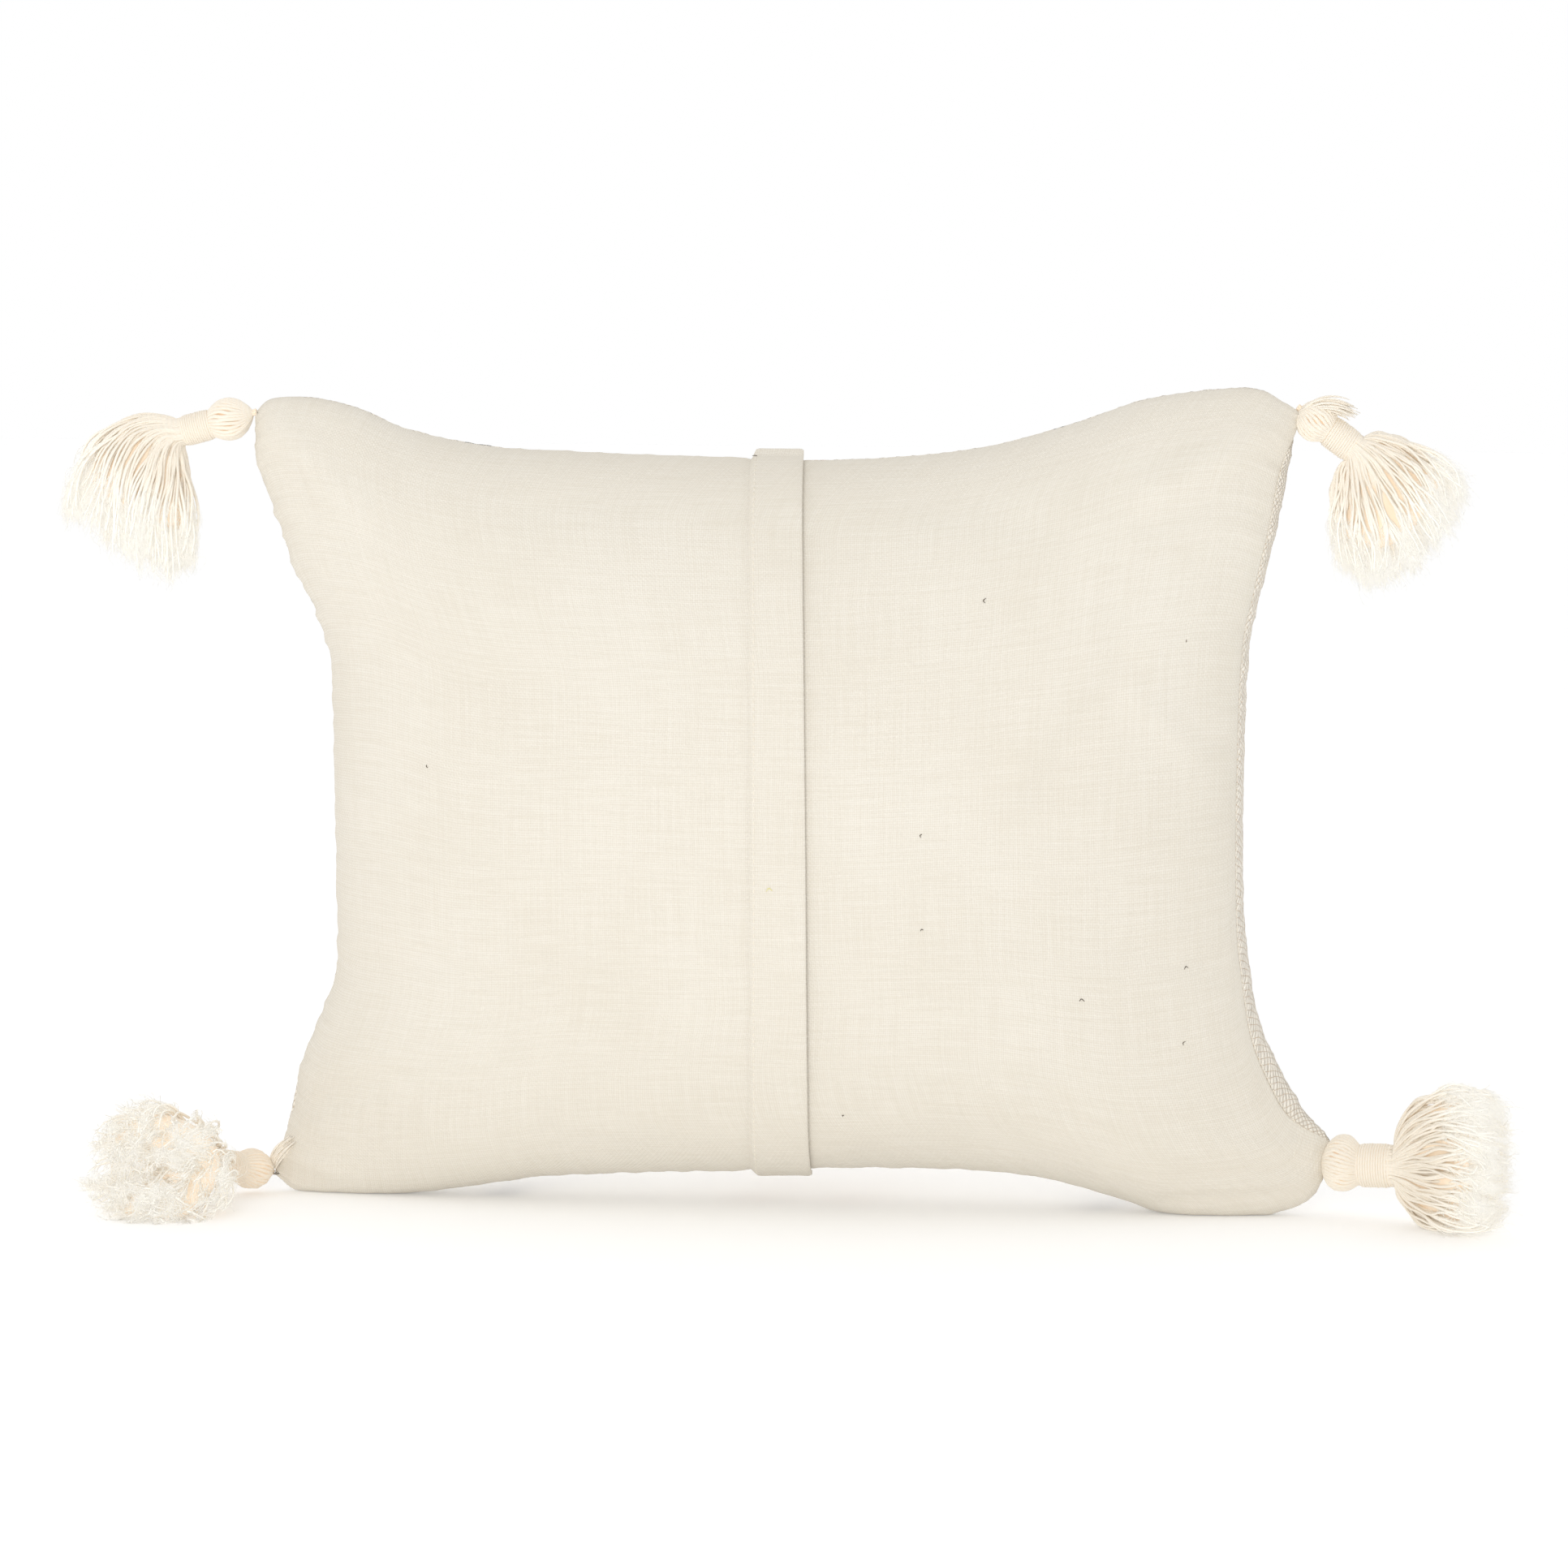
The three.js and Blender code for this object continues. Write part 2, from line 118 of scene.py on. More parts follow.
def makePiece(name, points, faces, material, attributes=None):
    # points is (n, 3) in millimetres; faces is a list of index arrays, each (faces, corners)
    corners = np.concatenate([f.ravel() for f in faces]).astype(np.int32)
    sizes = np.concatenate([np.full(len(f), f.shape[1]) for f in faces])
    mesh = bpy.data.meshes.new(name)
    mesh.vertices.add(len(points))
    mesh.vertices.foreach_set("co", (points * mm).astype(np.float32).ravel())
    mesh.loops.add(len(corners))
    mesh.loops.foreach_set("vertex_index", corners)
    mesh.polygons.add(len(sizes))
    mesh.polygons.foreach_set("loop_start", (np.cumsum(sizes) - sizes).astype(np.int32))
    mesh.polygons.foreach_set("use_smooth", np.ones(len(sizes), bool))
    for attributeName, values in (attributes or {}).items():
        attribute = mesh.attributes.new(attributeName, "FLOAT_VECTOR", "POINT")
        attribute.data.foreach_set("vector", values.astype(np.float32).ravel())
    mesh.update(calc_edges=True)
    mesh.materials.append(material)
    piece = bpy.data.objects.new(name, mesh)
    bpy.context.scene.collection.objects.link(piece)
    return piece


def quads(at):
    # the faces between neighbours in a grid of vertex numbers
    return np.stack([at[:-1, :-1], at[1:, :-1], at[1:, 1:], at[:-1, 1:]], -1).reshape(-1, 4)


def borderOf(shape):
    border = np.zeros(shape, bool)
    border[[0, -1], :] = True
    border[:, [0, -1]] = True
    return border


def sewn(back, front, border):
    # two grids that share their border points: all points, and each grid's vertex numbers
    backAt = np.arange(border.size).reshape(border.shape)
    frontAt = backAt.copy()
    frontAt[~border] = border.size + np.arange((~border).sum())
    return np.concatenate([back.reshape(-1, 3), front[~border]]), backAt, frontAt


def shellPiece(name, outer, inner, place, material, flip=False):
    # a thin closed shell: an outer and an inner grid of the same shape, joined round their border
    count = outer[..., 0].size
    at = np.arange(count).reshape(outer.shape[:2])
    border = np.concatenate([at[:-1, 0], at[-1, :-1], at[:0:-1, -1], at[0, :0:-1]])
    following = np.roll(border, -1)
    rim = np.stack([following, border, border + count, following + count], -1)
    faces = [quads(at), quads(at + count)[:, ::-1], rim]
    if flip:
        faces = [f[:, ::-1] for f in faces]
    points = np.concatenate([outer.reshape(-1, 3), inner.reshape(-1, 3)])
    places = np.concatenate([place.reshape(-1, 3)] * 2)
    return makePiece(name, points, faces, material, {"clothPlace": places})


def unit(vectors):
    return vectors / np.maximum(np.linalg.norm(vectors, axis=-1, keepdims=True), 1e-9)


def tubeArrays(paths, radii, sides, aside):
    # tubes along many paths at once: a ring of points round each path point, square to its tangent
    tangent = unit(np.gradient(paths, axis=1))
    across = unit(np.cross(tangent, np.asarray(aside, float)))
    up = np.cross(across, tangent)
    turn = np.arange(sides) / sides * fullTurn
    spread = (across[:, :, None] * np.cos(turn)[:, None] + up[:, :, None] * np.sin(turn)[:, None])
    points = paths[:, :, None] + spread * radii[:, :, None, None]
    count, steps = paths.shape[:2]
    at = np.arange(count * steps * sides).reshape(count, steps, sides)
    following = np.roll(at, -1, axis=2)
    walls = np.stack([at[:, :-1], at[:, 1:], following[:, 1:], following[:, :-1]], -1).reshape(-1, 4)
    caps = np.concatenate([at[:, 0], at[:, -1, ::-1]])
    along = np.linalg.norm(np.diff(paths, axis=1, prepend=paths[:, :1]), axis=-1).cumsum(1)
    place = np.stack(np.broadcast_arrays(along[:, :, None], turn, np.zeros(1)), -1)
    return points.reshape(-1, 3), [walls, caps], place.reshape(-1, 3)


def joinArrays(parts):
    # several (points, faces, place) put together as one
    points, faces, places, first = [], [], [], 0
    for partPoints, partFaces, place in parts:
        points.append(partPoints)
        faces += [f + first for f in partFaces]
        places.append(place)
        first += len(partPoints)
    return np.concatenate(points), faces, np.concatenate(places)


def ease(x):
    x = np.clip(x, 0, 1)
    return x * x * (3 - 2 * x)


def ripple(x, seed, octaves=3):
    # a smooth irregular wave of about unit height: sines of unrelated lengths added up
    draw = np.random.default_rng(seed)
    total = np.zeros(np.shape(x))
    for octave in range(octaves):
        pace = draw.uniform(0.7, 1.3) * 1.7 ** octave
        total = total + np.sin(x * pace + draw.uniform(0, 6.28)) / 1.35 ** octave
    return total / octaves


class Nodes:
    # the nodes of one material or of the world. A socket given as a value is linked, anything else is set
    def __init__(self, tree):
        self.tree = tree

    def link(self, value, socket):
        self.tree.links.new(value, socket)

    def fill(self, socket, value):
        if isinstance(value, bpy.types.NodeSocket):
            self.link(value, socket)
        else:
            socket.default_value = value

    def put(self, kind, sockets=None, **settings):
        node = self.tree.nodes.new(kind)
        for key, value in settings.items():
            setattr(node, key, value)
        for key, value in (sockets or {}).items():
            self.fill(node.inputs[key], value)
        return node

    def calc(self, operation, a, b=0.0, c=0.0):
        return self.put("ShaderNodeMath", {0: a, 1: b, 2: c}, operation=operation).outputs[0]

    def plus(self, a, b):
        return self.calc("ADD", a, b)

    def times(self, a, b):
        return self.calc("MULTIPLY", a, b)

    def timesPlus(self, a, b, c):
        return self.calc("MULTIPLY_ADD", a, b, c)

    def attribute(self, name):
        return self.put("ShaderNodeAttribute", attribute_name=name).outputs["Vector"]

    def coordinates(self, kind):
        return self.put("ShaderNodeTexCoord").outputs[kind]

    def split(self, vector):
        return self.put("ShaderNodeSeparateXYZ", {0: vector}).outputs

    def stretched(self, place, scale):
        return self.put("ShaderNodeVectorMath", {0: place, 1: scale}, operation="MULTIPLY").outputs[0]

    def noise(self, place, scale, detail=2.0, roughness=0.5):
        sockets = {"Vector": place, "Scale": scale, "Detail": detail, "Roughness": roughness}
        return self.put("ShaderNodeTexNoise", sockets).outputs["Fac"]

    def between(self, value, low, high, toLow=0.0, toHigh=1.0):
        sockets = {"Value": value, "From Min": low, "From Max": high, "To Min": toLow, "To Max": toHigh}
        return self.put("ShaderNodeMapRange", sockets, interpolation_type="SMOOTHSTEP").outputs[0]

    def mixed(self, share, a, b):
        a, b = ((*value, 1.0) if isinstance(value, tuple) else value for value in (a, b))
        return self.put("ShaderNodeMix", {0: share, 6: a, 7: b}, data_type="RGBA").outputs[2]


def newMaterial(name):
    material = bpy.data.materials.new(name)
    material.use_nodes = True
    return material, Nodes(material.node_tree), material.node_tree.nodes["Principled BSDF"]


def finishCloth(n, shader, colour, height, depth, look):
    bump = n.put("ShaderNodeBump", {"Height": height, "Strength": look["bump"], "Distance": depth})
    values = {
        "Base Color": colour, "Normal": bump.outputs[0], "Roughness": look["roughness"],
        "Specular IOR Level": look["specular"], "Sheen Weight": look["sheen"], "Sheen Roughness": 0.5,
        "Sheen Tint": (1.0, 0.95, 0.86, 1.0),
    }
    for socket, value in values.items():
        n.fill(shader.inputs[socket], value)


makeCamera(camera)
makeStudio(studio)
print("camera and studio made")


plainWeave = {
    "thread": 1.02, "light": (0.800, 0.763, 0.688), "dark": (0.735, 0.688, 0.600),
    # the gap colour is painted shade between the threads
    "gap": (0.63, 0.565, 0.465), "seed": (0.16, 0.11, 0.07),
    "bump": 0.34, "roughness": 1.0, "specular": 0.05, "sheen": 0.08,
}


def plainWeaveMaterial(name, look):
    # crossing threads: the product of a sine across and a sine up gives the over-and-under checker of a plain
    # weave; the gaps between the threads are darkened as painted shade; long thin noise along each thread
    # direction makes slubs; a few cells of a Voronoi pattern hold a dark seed fleck
    material, n, shader = newMaterial(name)
    place = n.attribute("clothPlace")
    wander = n.noise(place, 0.05, 1.0)
    axes = n.split(place)
    turns = fullTurn / look["thread"]
    across = n.calc("SINE", n.timesPlus(axes[0], turns / 2, n.times(wander, 9.0)))
    upward = n.calc("SINE", n.timesPlus(axes[1], turns / 2, n.times(wander, 7.0)))
    checker = n.times(across, upward)
    weftSlub = n.noise(n.stretched(place, (0.030, 0.80, 1.0)), 1.0, 3.0, 0.6)
    warpSlub = n.noise(n.stretched(place, (0.85, 0.022, 1.0)), 1.0, 3.0, 0.6)
    fibre = n.noise(place, 1.4, 3.0, 0.65)
    cloud = n.noise(place, 0.012, 2.0)
    tone = n.plus(n.times(weftSlub, 0.9), n.times(warpSlub, 0.7))
    tone = n.plus(tone, n.times(fibre, 0.9))
    tone = n.plus(tone, n.times(cloud, 0.5))
    colour = n.mixed(n.between(tone, 1.15, 1.85), look["light"], look["dark"])
    # painted shade between the threads
    gapShade = n.between(n.calc("ABSOLUTE", checker), 0.0, 0.28, 0.55, 0.0)
    colour = n.mixed(gapShade, colour, look["gap"])
    cells = n.put("ShaderNodeTexVoronoi", {"Vector": n.stretched(place, (1.0, 0.6, 1.0)), "Scale": 0.045})
    isFleck = n.calc("LESS_THAN", cells.outputs["Distance"], 0.016)
    chosen = n.calc("GREATER_THAN", n.split(cells.outputs["Color"])[0], 0.72)
    colour = n.mixed(n.times(n.times(isFleck, chosen), 0.75), colour, look["seed"])
    height = n.plus(n.times(checker, 0.55), n.times(tone, 0.6))
    finishCloth(n, shader, colour, height, 0.0004, look)
    return material


basketWeave = {
    # the gap colour is painted shade in the low places between the yarns
    "yarn": 2.3, "light": (0.92, 0.875, 0.79), "dark": (0.87, 0.81, 0.71), "gap": (0.66, 0.48, 0.31),
    "tan": (0.52, 0.35, 0.21), "charcoal": (0.055, 0.055, 0.06),
    "tanStripes": ((225, 236), (262, 273)), "charcoalStripes": ((118, 130), (368, 380)),
    "bump": 0.9, "roughness": 0.92, "specular": 0.15, "sheen": 0.15,
}


def basketWeaveMaterial(name, look):
    # thick yarns that lie over and under on a slant: the height is the larger of two sets of humps that take
    # turns; the low places between them are darkened as painted shade
    material, n, shader = newMaterial(name)
    place = n.attribute("clothPlace")
    axes = n.split(place)
    turns = math.pi / look["yarn"]
    wander = n.noise(place, 0.08, 1.0)
    slant = n.plus(axes[0], axes[1])
    counter = n.calc("SUBTRACT", axes[0], axes[1])
    one = n.calc("SINE", n.timesPlus(slant, turns * halfRoot, n.times(wander, 3.0)))
    two = n.calc("SINE", n.timesPlus(counter, turns * halfRoot, n.times(wander, 2.0)))
    hump = n.calc("ABSOLUTE", n.times(one, two))
    fibre = n.noise(place, 2.2, 3.0, 0.7)
    colour = n.mixed(fibre, look["light"], look["dark"])
    for stripes, tint in ((look["tanStripes"], look["tan"]), (look["charcoalStripes"], look["charcoal"])):
        for low, high in stripes:
            inside = n.times(n.calc("GREATER_THAN", axes[0], float(low)),
                          n.calc("LESS_THAN", axes[0], float(high)))
            over = n.times(inside, n.calc("GREATER_THAN", hump, 0.22))
            colour = n.mixed(over, colour, tint)
    # painted shade in the low places between the yarns
    gapShade = n.between(hump, 0.0, 0.12, 0.75, 0.0)
    colour = n.mixed(gapShade, colour, look["gap"])
    height = n.plus(n.calc("POWER", hump, 0.5), n.times(fibre, 0.2))
    finishCloth(n, shader, colour, height, 0.0009, look)
    return material


# the peach colour is painted warm shade, for yarn deep in the bundle and in the grooves between the plies
yarn = {
    "white": (0.95, 0.935, 0.88), "cream": (0.86, 0.805, 0.71), "shadePeach": (0.86, 0.69, 0.51),
    "glow": 0.09, "deepGlow": 0.15, "allGlow": 0.05, "twist": 2.4,
    "bump": 0.3, "roughness": 0.9, "specular": 0.10, "sheen": 0.2,
}


def yarnMaterial(name, look):
    # two plies twisted together: a sine of the place round the strand plus its place along it; yarn that lies
    # deep in the bundle, and the grooves between the plies, are tinted warmer as painted shade
    material, n, shader = newMaterial(name)
    place = n.attribute("yarnPlaceAndShade")
    axes = n.split(place)
    ply = n.calc("SINE", n.timesPlus(axes[0], fullTurn / look["twist"],
                                  n.times(axes[1], 2.0)))
    coordinates = n.coordinates("Object")
    fibre = n.noise(coordinates, 900.0, 2.0, 0.7)
    blotch = n.noise(coordinates, 60.0, 2.0)
    # painted shade: the third value of the yarn's place says how deep in shade the yarn lies, with random
    # blotches; below zero it marks yarn come undone
    shadeAndBlotch = n.plus(axes[2], n.times(n.calc("SUBTRACT", blotch, 0.5), 0.35))
    undone = n.between(axes[2], -0.35, 0.12, 1.0, 0.0)
    colour = n.mixed(undone, look["cream"], look["white"])
    deepShade = n.between(shadeAndBlotch, 0.15, 1.0)
    colour = n.mixed(deepShade, colour, look["shadePeach"])
    # painted shade in the grooves between the plies
    groove = n.between(ply, -1.0, -0.2, 0.16, 0.0)
    colour = n.mixed(groove, colour, look["shadePeach"])
    height = n.plus(n.times(ply, 0.6), n.times(fibre, 0.5))
    finishCloth(n, shader, colour, height, 0.0002, look)
    # light scattered many times over between the finest fibres and deep in the bundle
    glow = n.timesPlus(undone, look["glow"],
                n.timesPlus(deepShade, look["deepGlow"], look["allGlow"]))
    n.link(n.mixed(undone, look["shadePeach"], look["white"]), shader.inputs["Emission Color"])
    n.link(glow, shader.inputs["Emission Strength"])
    return material


thread = {"colour": (0.88, 0.83, 0.73), "dark": (0.74, 0.66, 0.54), "bump": 0.4, "roughness": 0.8,
          "specular": 0.3, "sheen": 0.1}
plainStuff = {
    "casing": {"colour": (0.90, 0.89, 0.86), "dark": (0.82, 0.80, 0.76), "bump": 0.3, "roughness": 0.9,
               "specular": 0.2, "sheen": 0.1},
    "fibre": {"colour": (0.95, 0.95, 0.94), "dark": (0.84, 0.84, 0.84), "bump": 0.9, "roughness": 1.0,
              "specular": 0.1, "sheen": 0.4},
}


def fibrousMaterial(name, look, scale):
    # fine noise for the fibres over slow noise for uneven tone
    material, n, shader = newMaterial(name)
    coordinates = n.coordinates("Object")
    fine = n.noise(coordinates, scale, 4.0, 0.7)
    slow = n.noise(coordinates, scale / 20, 2.0)
    colour = n.mixed(n.times(fine, slow), look["colour"], look["dark"])
    finishCloth(n, shader, colour, fine, 0.0004, look)
    return material


clothMaterial = plainWeaveMaterial("plainWeaveCotton", plainWeave)
frontMaterial = basketWeaveMaterial("stripedBasketWeave", basketWeave)
yarnLook = yarnMaterial("tasselYarn", yarn)
threadLook = fibrousMaterial("sewingThread", thread, 1500.0)
casingLook = fibrousMaterial("insertCasing", plainStuff["casing"], 700.0)
fibreLook = fibrousMaterial("loosePolyester", plainStuff["fibre"], 160.0)
print("materials made")


cover = {
    "flatWidth": 500.0, "flatHeight": 400.0,      # sewn size of each face, laid flat
    "crown": {"back": 80.0, "front": 82.0},       # how far each face stands from the seams at its middle
    "middle": {"halfWidth": 213.0, "halfHeight": 170.0, "height": 187.0},
    "corners": {"bottomLeft": (-238, 8), "bottomRight": (258.5, 29.5),
                "topLeft": (-245.5, 367), "topRight": (237, 370.5)},
    "drawIn": {                                   # each edge's inset from the line between its corners
        "bottom": [(0, 0), (0.02, -7), (0.065, -9.3), (0.13, -9.5), (0.205, -6.7), (0.28, -2.2),
                   (0.45, -1.5), (0.60, -2.9), (0.67, -4.5), (0.735, -9), (0.795, -18), (0.85, -26.3),
                   (0.90, -28), (0.955, -25.8), (0.985, -18.5), (1, 0)],
        "top": [(0, 0), (0.015, -6), (0.055, -7), (0.10, -2), (0.15, 8), (0.25, 16.5), (0.45, 21),
                (0.58, 21), (0.70, 15.5), (0.79, 4), (0.85, -6), (0.91, -10.7), (0.965, -11), (1, 0)],
        "left": [(0, 0), (0.055, 6), (0.16, 15.7), (0.22, 25.5), (0.275, 32), (0.40, 33.2),
                 (0.58, 33.3), (0.69, 32), (0.75, 24.3), (0.805, 15), (0.87, 7.7), (0.94, -1), (1, 0)],
        "right": [(0, 0), (0.02, 0), (0.055, 10), (0.125, 22.5), (0.19, 30.5), (0.26, 33.5), (0.34, 35),
                  (0.52, 32.2), (0.70, 26.5), (0.78, 19), (0.86, 11), (1, 0)],
    },
    "settle": 6.0, "rest": 1.2,                   # cloth below the first height is pressed towards the floor
    "seamTurn": 10.0,                             # degrees by which the right seam sits round towards the back
}


def smoothThrough(knots):
    # cubic pieces through the knots, with slopes taken from the knots either side
    t, value = np.array(knots, float).T
    order = np.arange(len(t))
    after, before = np.minimum(order + 1, len(t) - 1), np.maximum(order - 1, 0)
    slope = (value[after] - value[before]) / (t[after] - t[before])

    def curve(x):
        k = np.clip(np.searchsorted(t, x) - 1, 0, len(t) - 2)
        span = t[k + 1] - t[k]
        s = (x - t[k]) / span
        return ((2 * s ** 3 - 3 * s ** 2 + 1) * value[k] + (s ** 3 - 2 * s ** 2 + s) * span * slope[k]
                + (3 * s ** 2 - 2 * s ** 3) * value[k + 1] + (s ** 3 - s ** 2) * span * slope[k + 1])
    return curve


def edgeCurve(spec, start, end, side, inward):
    first, last = np.array(spec["corners"][start], float), np.array(spec["corners"][end], float)
    normal = np.array([first[1] - last[1], last[0] - first[0]])
    normal = normal / np.linalg.norm(normal) * np.sign(normal @ inward)
    inset = smoothThrough(spec["drawIn"][side])
    return lambda t: first + (last - first) * t[..., None] + normal * inset(t)[..., None]


edges = {
    "bottom": edgeCurve(cover, "bottomLeft", "bottomRight", "bottom", (0, 1)),
    "top": edgeCurve(cover, "topLeft", "topRight", "top", (0, -1)),
    "left": edgeCurve(cover, "bottomLeft", "topLeft", "left", (1, 0)),
    "right": edgeCurve(cover, "bottomRight", "topRight", "right", (-1, 0)),
}


def patch(across, up):
    # the cover seen flat on: a surface blended from its four edge curves
    a, b = across[..., None], up[..., None]
    corners = {name: np.array(point, float) for name, point in cover["corners"].items()}
    return (edges["bottom"](across) * (1 - b) + edges["top"](across) * b
            + edges["left"](up) * (1 - a) + edges["right"](up) * a
            - corners["bottomLeft"] * (1 - a) * (1 - b) - corners["bottomRight"] * a * (1 - b)
            - corners["topLeft"] * (1 - a) * b - corners["topRight"] * a * b)


def evenAngle(share, halfLength, crown):
    # the angle round a half ellipse at which that share of its length lies, so cloth is spread evenly over it
    angles = np.linspace(-math.pi / 2, math.pi / 2, 721)
    pace = np.hypot(halfLength * np.cos(angles), crown * np.sin(angles))
    length = np.concatenate([[0], np.cumsum((pace[1:] + pace[:-1]) / 2)])
    return np.interp(share, length / length[-1], angles)


def startForm(u, v, face):
    # the form that the cloth starts from: a crown that is the product of two cosines over the flat outline
    side = -1 if face == "back" else 1
    middle, crown = cover["middle"], cover["crown"][face]
    across = evenAngle(u, middle["halfWidth"], crown)
    upward = evenAngle(v, middle["halfHeight"], crown)
    turn = math.radians(cover["seamTurn"]) * ease(v / 0.16) * ease((1 - v) / 0.16)
    across = -math.pi / 2 + (across + math.pi / 2) * (1 + side * turn / math.pi)
    flat = patch((np.sin(across) + 1) / 2, (np.sin(upward) + 1) / 2)
    evened = (cover["crown"]["back"] + cover["crown"]["front"]) / 2
    crown = crown + (evened - crown) * (1 - np.cos(across)) ** 2
    y = side * crown * np.cos(across) * np.cos(upward)
    z = flat[..., 1]
    z = np.clip((z - cover["rest"]) * cover["settle"] / (cover["settle"] - cover["rest"]), 0, np.maximum(z, 0))
    return np.stack([flat[..., 0], y, z], -1)


simulation = {
    "columns": 121, "rows": 97, "frames": 24, "pressure": 3.0, "quality": 6, "tension": 22.0,
    "bending": 0.35, "farthest": 16.0,
}


def simulateCover(spec):
    # two flat panels sewn at their borders, held at the seam and blown up by pressure from the start form
    u, v = np.meshgrid(np.linspace(0, 1, spec["columns"]), np.linspace(0, 1, spec["rows"]), indexing="ij")
    back, front = startForm(u, v, "back"), startForm(u, v, "front")
    seam = borderOf(u.shape)
    back[seam] = (back[seam] + front[seam]) / 2
    front[seam] = back[seam]
    points, backAt, frontAt = sewn(back, front, seam)
    bag = makePiece("coverBag", points, [quads(backAt), quads(frontAt)[:, ::-1]], clothMaterial)
    flat = np.stack([u * cover["flatWidth"], 0 * u, v * cover["flatHeight"]], -1)
    flatPoints = sewn(flat, flat, seam)[0] * mm
    bag.shape_key_add(name="Basis")
    restKey = bag.shape_key_add(name="laidFlat")
    restKey.data.foreach_set("co", flatPoints.astype(np.float32).ravel())
    restKey.value = 0.0
    held = bag.vertex_groups.new(name="seam")
    held.add(backAt[seam].ravel().tolist(), 1.0, "REPLACE")
    cloth = bag.modifiers.new("cloth", "CLOTH")
    settings = cloth.settings
    settings.quality, settings.bending_stiffness = spec["quality"], spec["bending"]
    settings.tension_stiffness = settings.compression_stiffness = spec["tension"]
    settings.shear_stiffness = spec["tension"] / 2
    settings.use_pressure, settings.uniform_pressure_force = True, spec["pressure"]
    settings.vertex_group_mass = "seam"
    settings.rest_shape_key = restKey
    settings.effector_weights.gravity = 0.0
    cloth.point_cache.frame_start, cloth.point_cache.frame_end = 1, spec["frames"]
    scene = bpy.context.scene
    for number in range(1, spec["frames"] + 1):
        scene.frame_set(number)
    evaluated = bag.evaluated_get(bpy.context.evaluated_depsgraph_get())
    found = np.zeros(len(points) * 3, np.float32)
    evaluated.data.vertices.foreach_get("co", found)
    found = found.reshape(-1, 3) / mm
    scene.frame_set(1)
    mesh = bag.data
    bpy.data.objects.remove(bag)
    bpy.data.meshes.remove(mesh)
    moved = found - points
    length = np.linalg.norm(moved, axis=1, keepdims=True)
    print("cloth moved at most", round(float(length.max()), 1), "mm")
    moved = moved * np.minimum(1, spec["farthest"] / np.maximum(length, 1e-6))
    points = points + moved
    return points[backAt], points[frontAt]


def soften(grid, times):
    # each point inside the grid moves half way to the mean of its four neighbours
    for _ in range(times):
        mean = (grid[:-2, 1:-1] + grid[2:, 1:-1] + grid[1:-1, :-2] + grid[1:-1, 2:]) / 4
        grid = grid.copy()
        grid[1:-1, 1:-1] += (mean - grid[1:-1, 1:-1]) * 0.5
    return grid


formBack, formFront = (soften(grid, 2) for grid in simulateCover(simulation))
print("cover formed")


def sampleForm(grid, u, v):
    # smooth values of a grid between its points: cubic weights over the four nearest columns and rows
    def weights(share, count):
        x = np.clip(share, 0, 1) * (count - 1)
        k = np.clip(np.floor(x).astype(int), 0, count - 2)
        s = x - k
        cubic = [(-s ** 3 + 2 * s ** 2 - s) / 2, (3 * s ** 3 - 5 * s ** 2 + 2) / 2,
                 (-3 * s ** 3 + 4 * s ** 2 + s) / 2, (s ** 3 - s ** 2) / 2]
        return [np.clip(k + j - 1, 0, count - 1) for j in range(4)], cubic

    columns, acrossWeights = weights(u, grid.shape[0])
    rows, upWeights = weights(v, grid.shape[1])
    return sum(grid[i, j] * (a * b)[..., None]
               for i, a in zip(columns, acrossWeights) for j, b in zip(rows, upWeights))


def surfaceOf(face, u, v):
    # points of a face of the cover and its outward normals
    points = sampleForm(formBack if face == "back" else formFront, u, v)
    normals = np.cross(np.gradient(points, axis=0), np.gradient(points, axis=1))
    if face == "front":
        normals = -normals
    return points, unit(normals)


finish = [0.4, 0.9, 1.5, 2.3]                      # short steps next to a seam
closest = 2.6                                     # even steps begin past this


def spacing(low, high, step, ends=()):
    # even steps between two lengths, with a few short steps near the ends given
    keep = np.linspace(low, high, max(int(round((high - low) / step)), 2) + 1)
    added = []
    for end, inward in ends:
        keep = keep[(np.abs(keep - end) > closest) | (keep == end)]
        added += [end + inward * short for short in finish]
    return np.sort(np.concatenate([keep, added]))


panels = {
    "cloth": 0.9, "frontCloth": 1.8, "step": 2.0, "frontStep": 2.15, "yarnRelief": 0.35,
    "underlap": 0.335,                            # share of the width where the right panel begins
    "crease": (-11.0, -6.0, -14.0),               # where the hem's fold line stands, bottom, middle and top
    "freeEdge": (17.5, 19.5, 10.5),               # and the hem's free edge
    "overlapRise": 1.15, "hemRise": 1.3, "edgeLift": 1.7, "hemEnds": 3.4,
    "seamGroove": 0.9, "foldGroove": 0.7,
    "pucker": {"depth": 1.7, "reach": 15.0, "length": 13.0},
}
width, height = cover["flatWidth"], cover["flatHeight"]


def through(three, v):
    # the curve of second degree through values at the bottom, middle and top
    low, middle, high = three
    return low + (4 * middle - 3 * low - high) * v + (2 * low + 2 * high - 4 * middle) * v * v


def shareAt(across, v):
    # the share of the width at which the back's cloth crosses a given place from left to right, at height v
    u = np.linspace(0, 1, 301)
    levels = np.linspace(0, 1, 81)
    grid = sampleForm(formBack, *np.meshgrid(u, levels, indexing="ij"))[..., 0]
    found = [np.interp(through(across, level), grid[:, k], u) for k, level in enumerate(levels)]
    return np.interp(v, levels, found)


def seamDistance(u, v):
    return np.minimum(np.minimum(u, 1 - u) * width, np.minimum(v, 1 - v) * height)


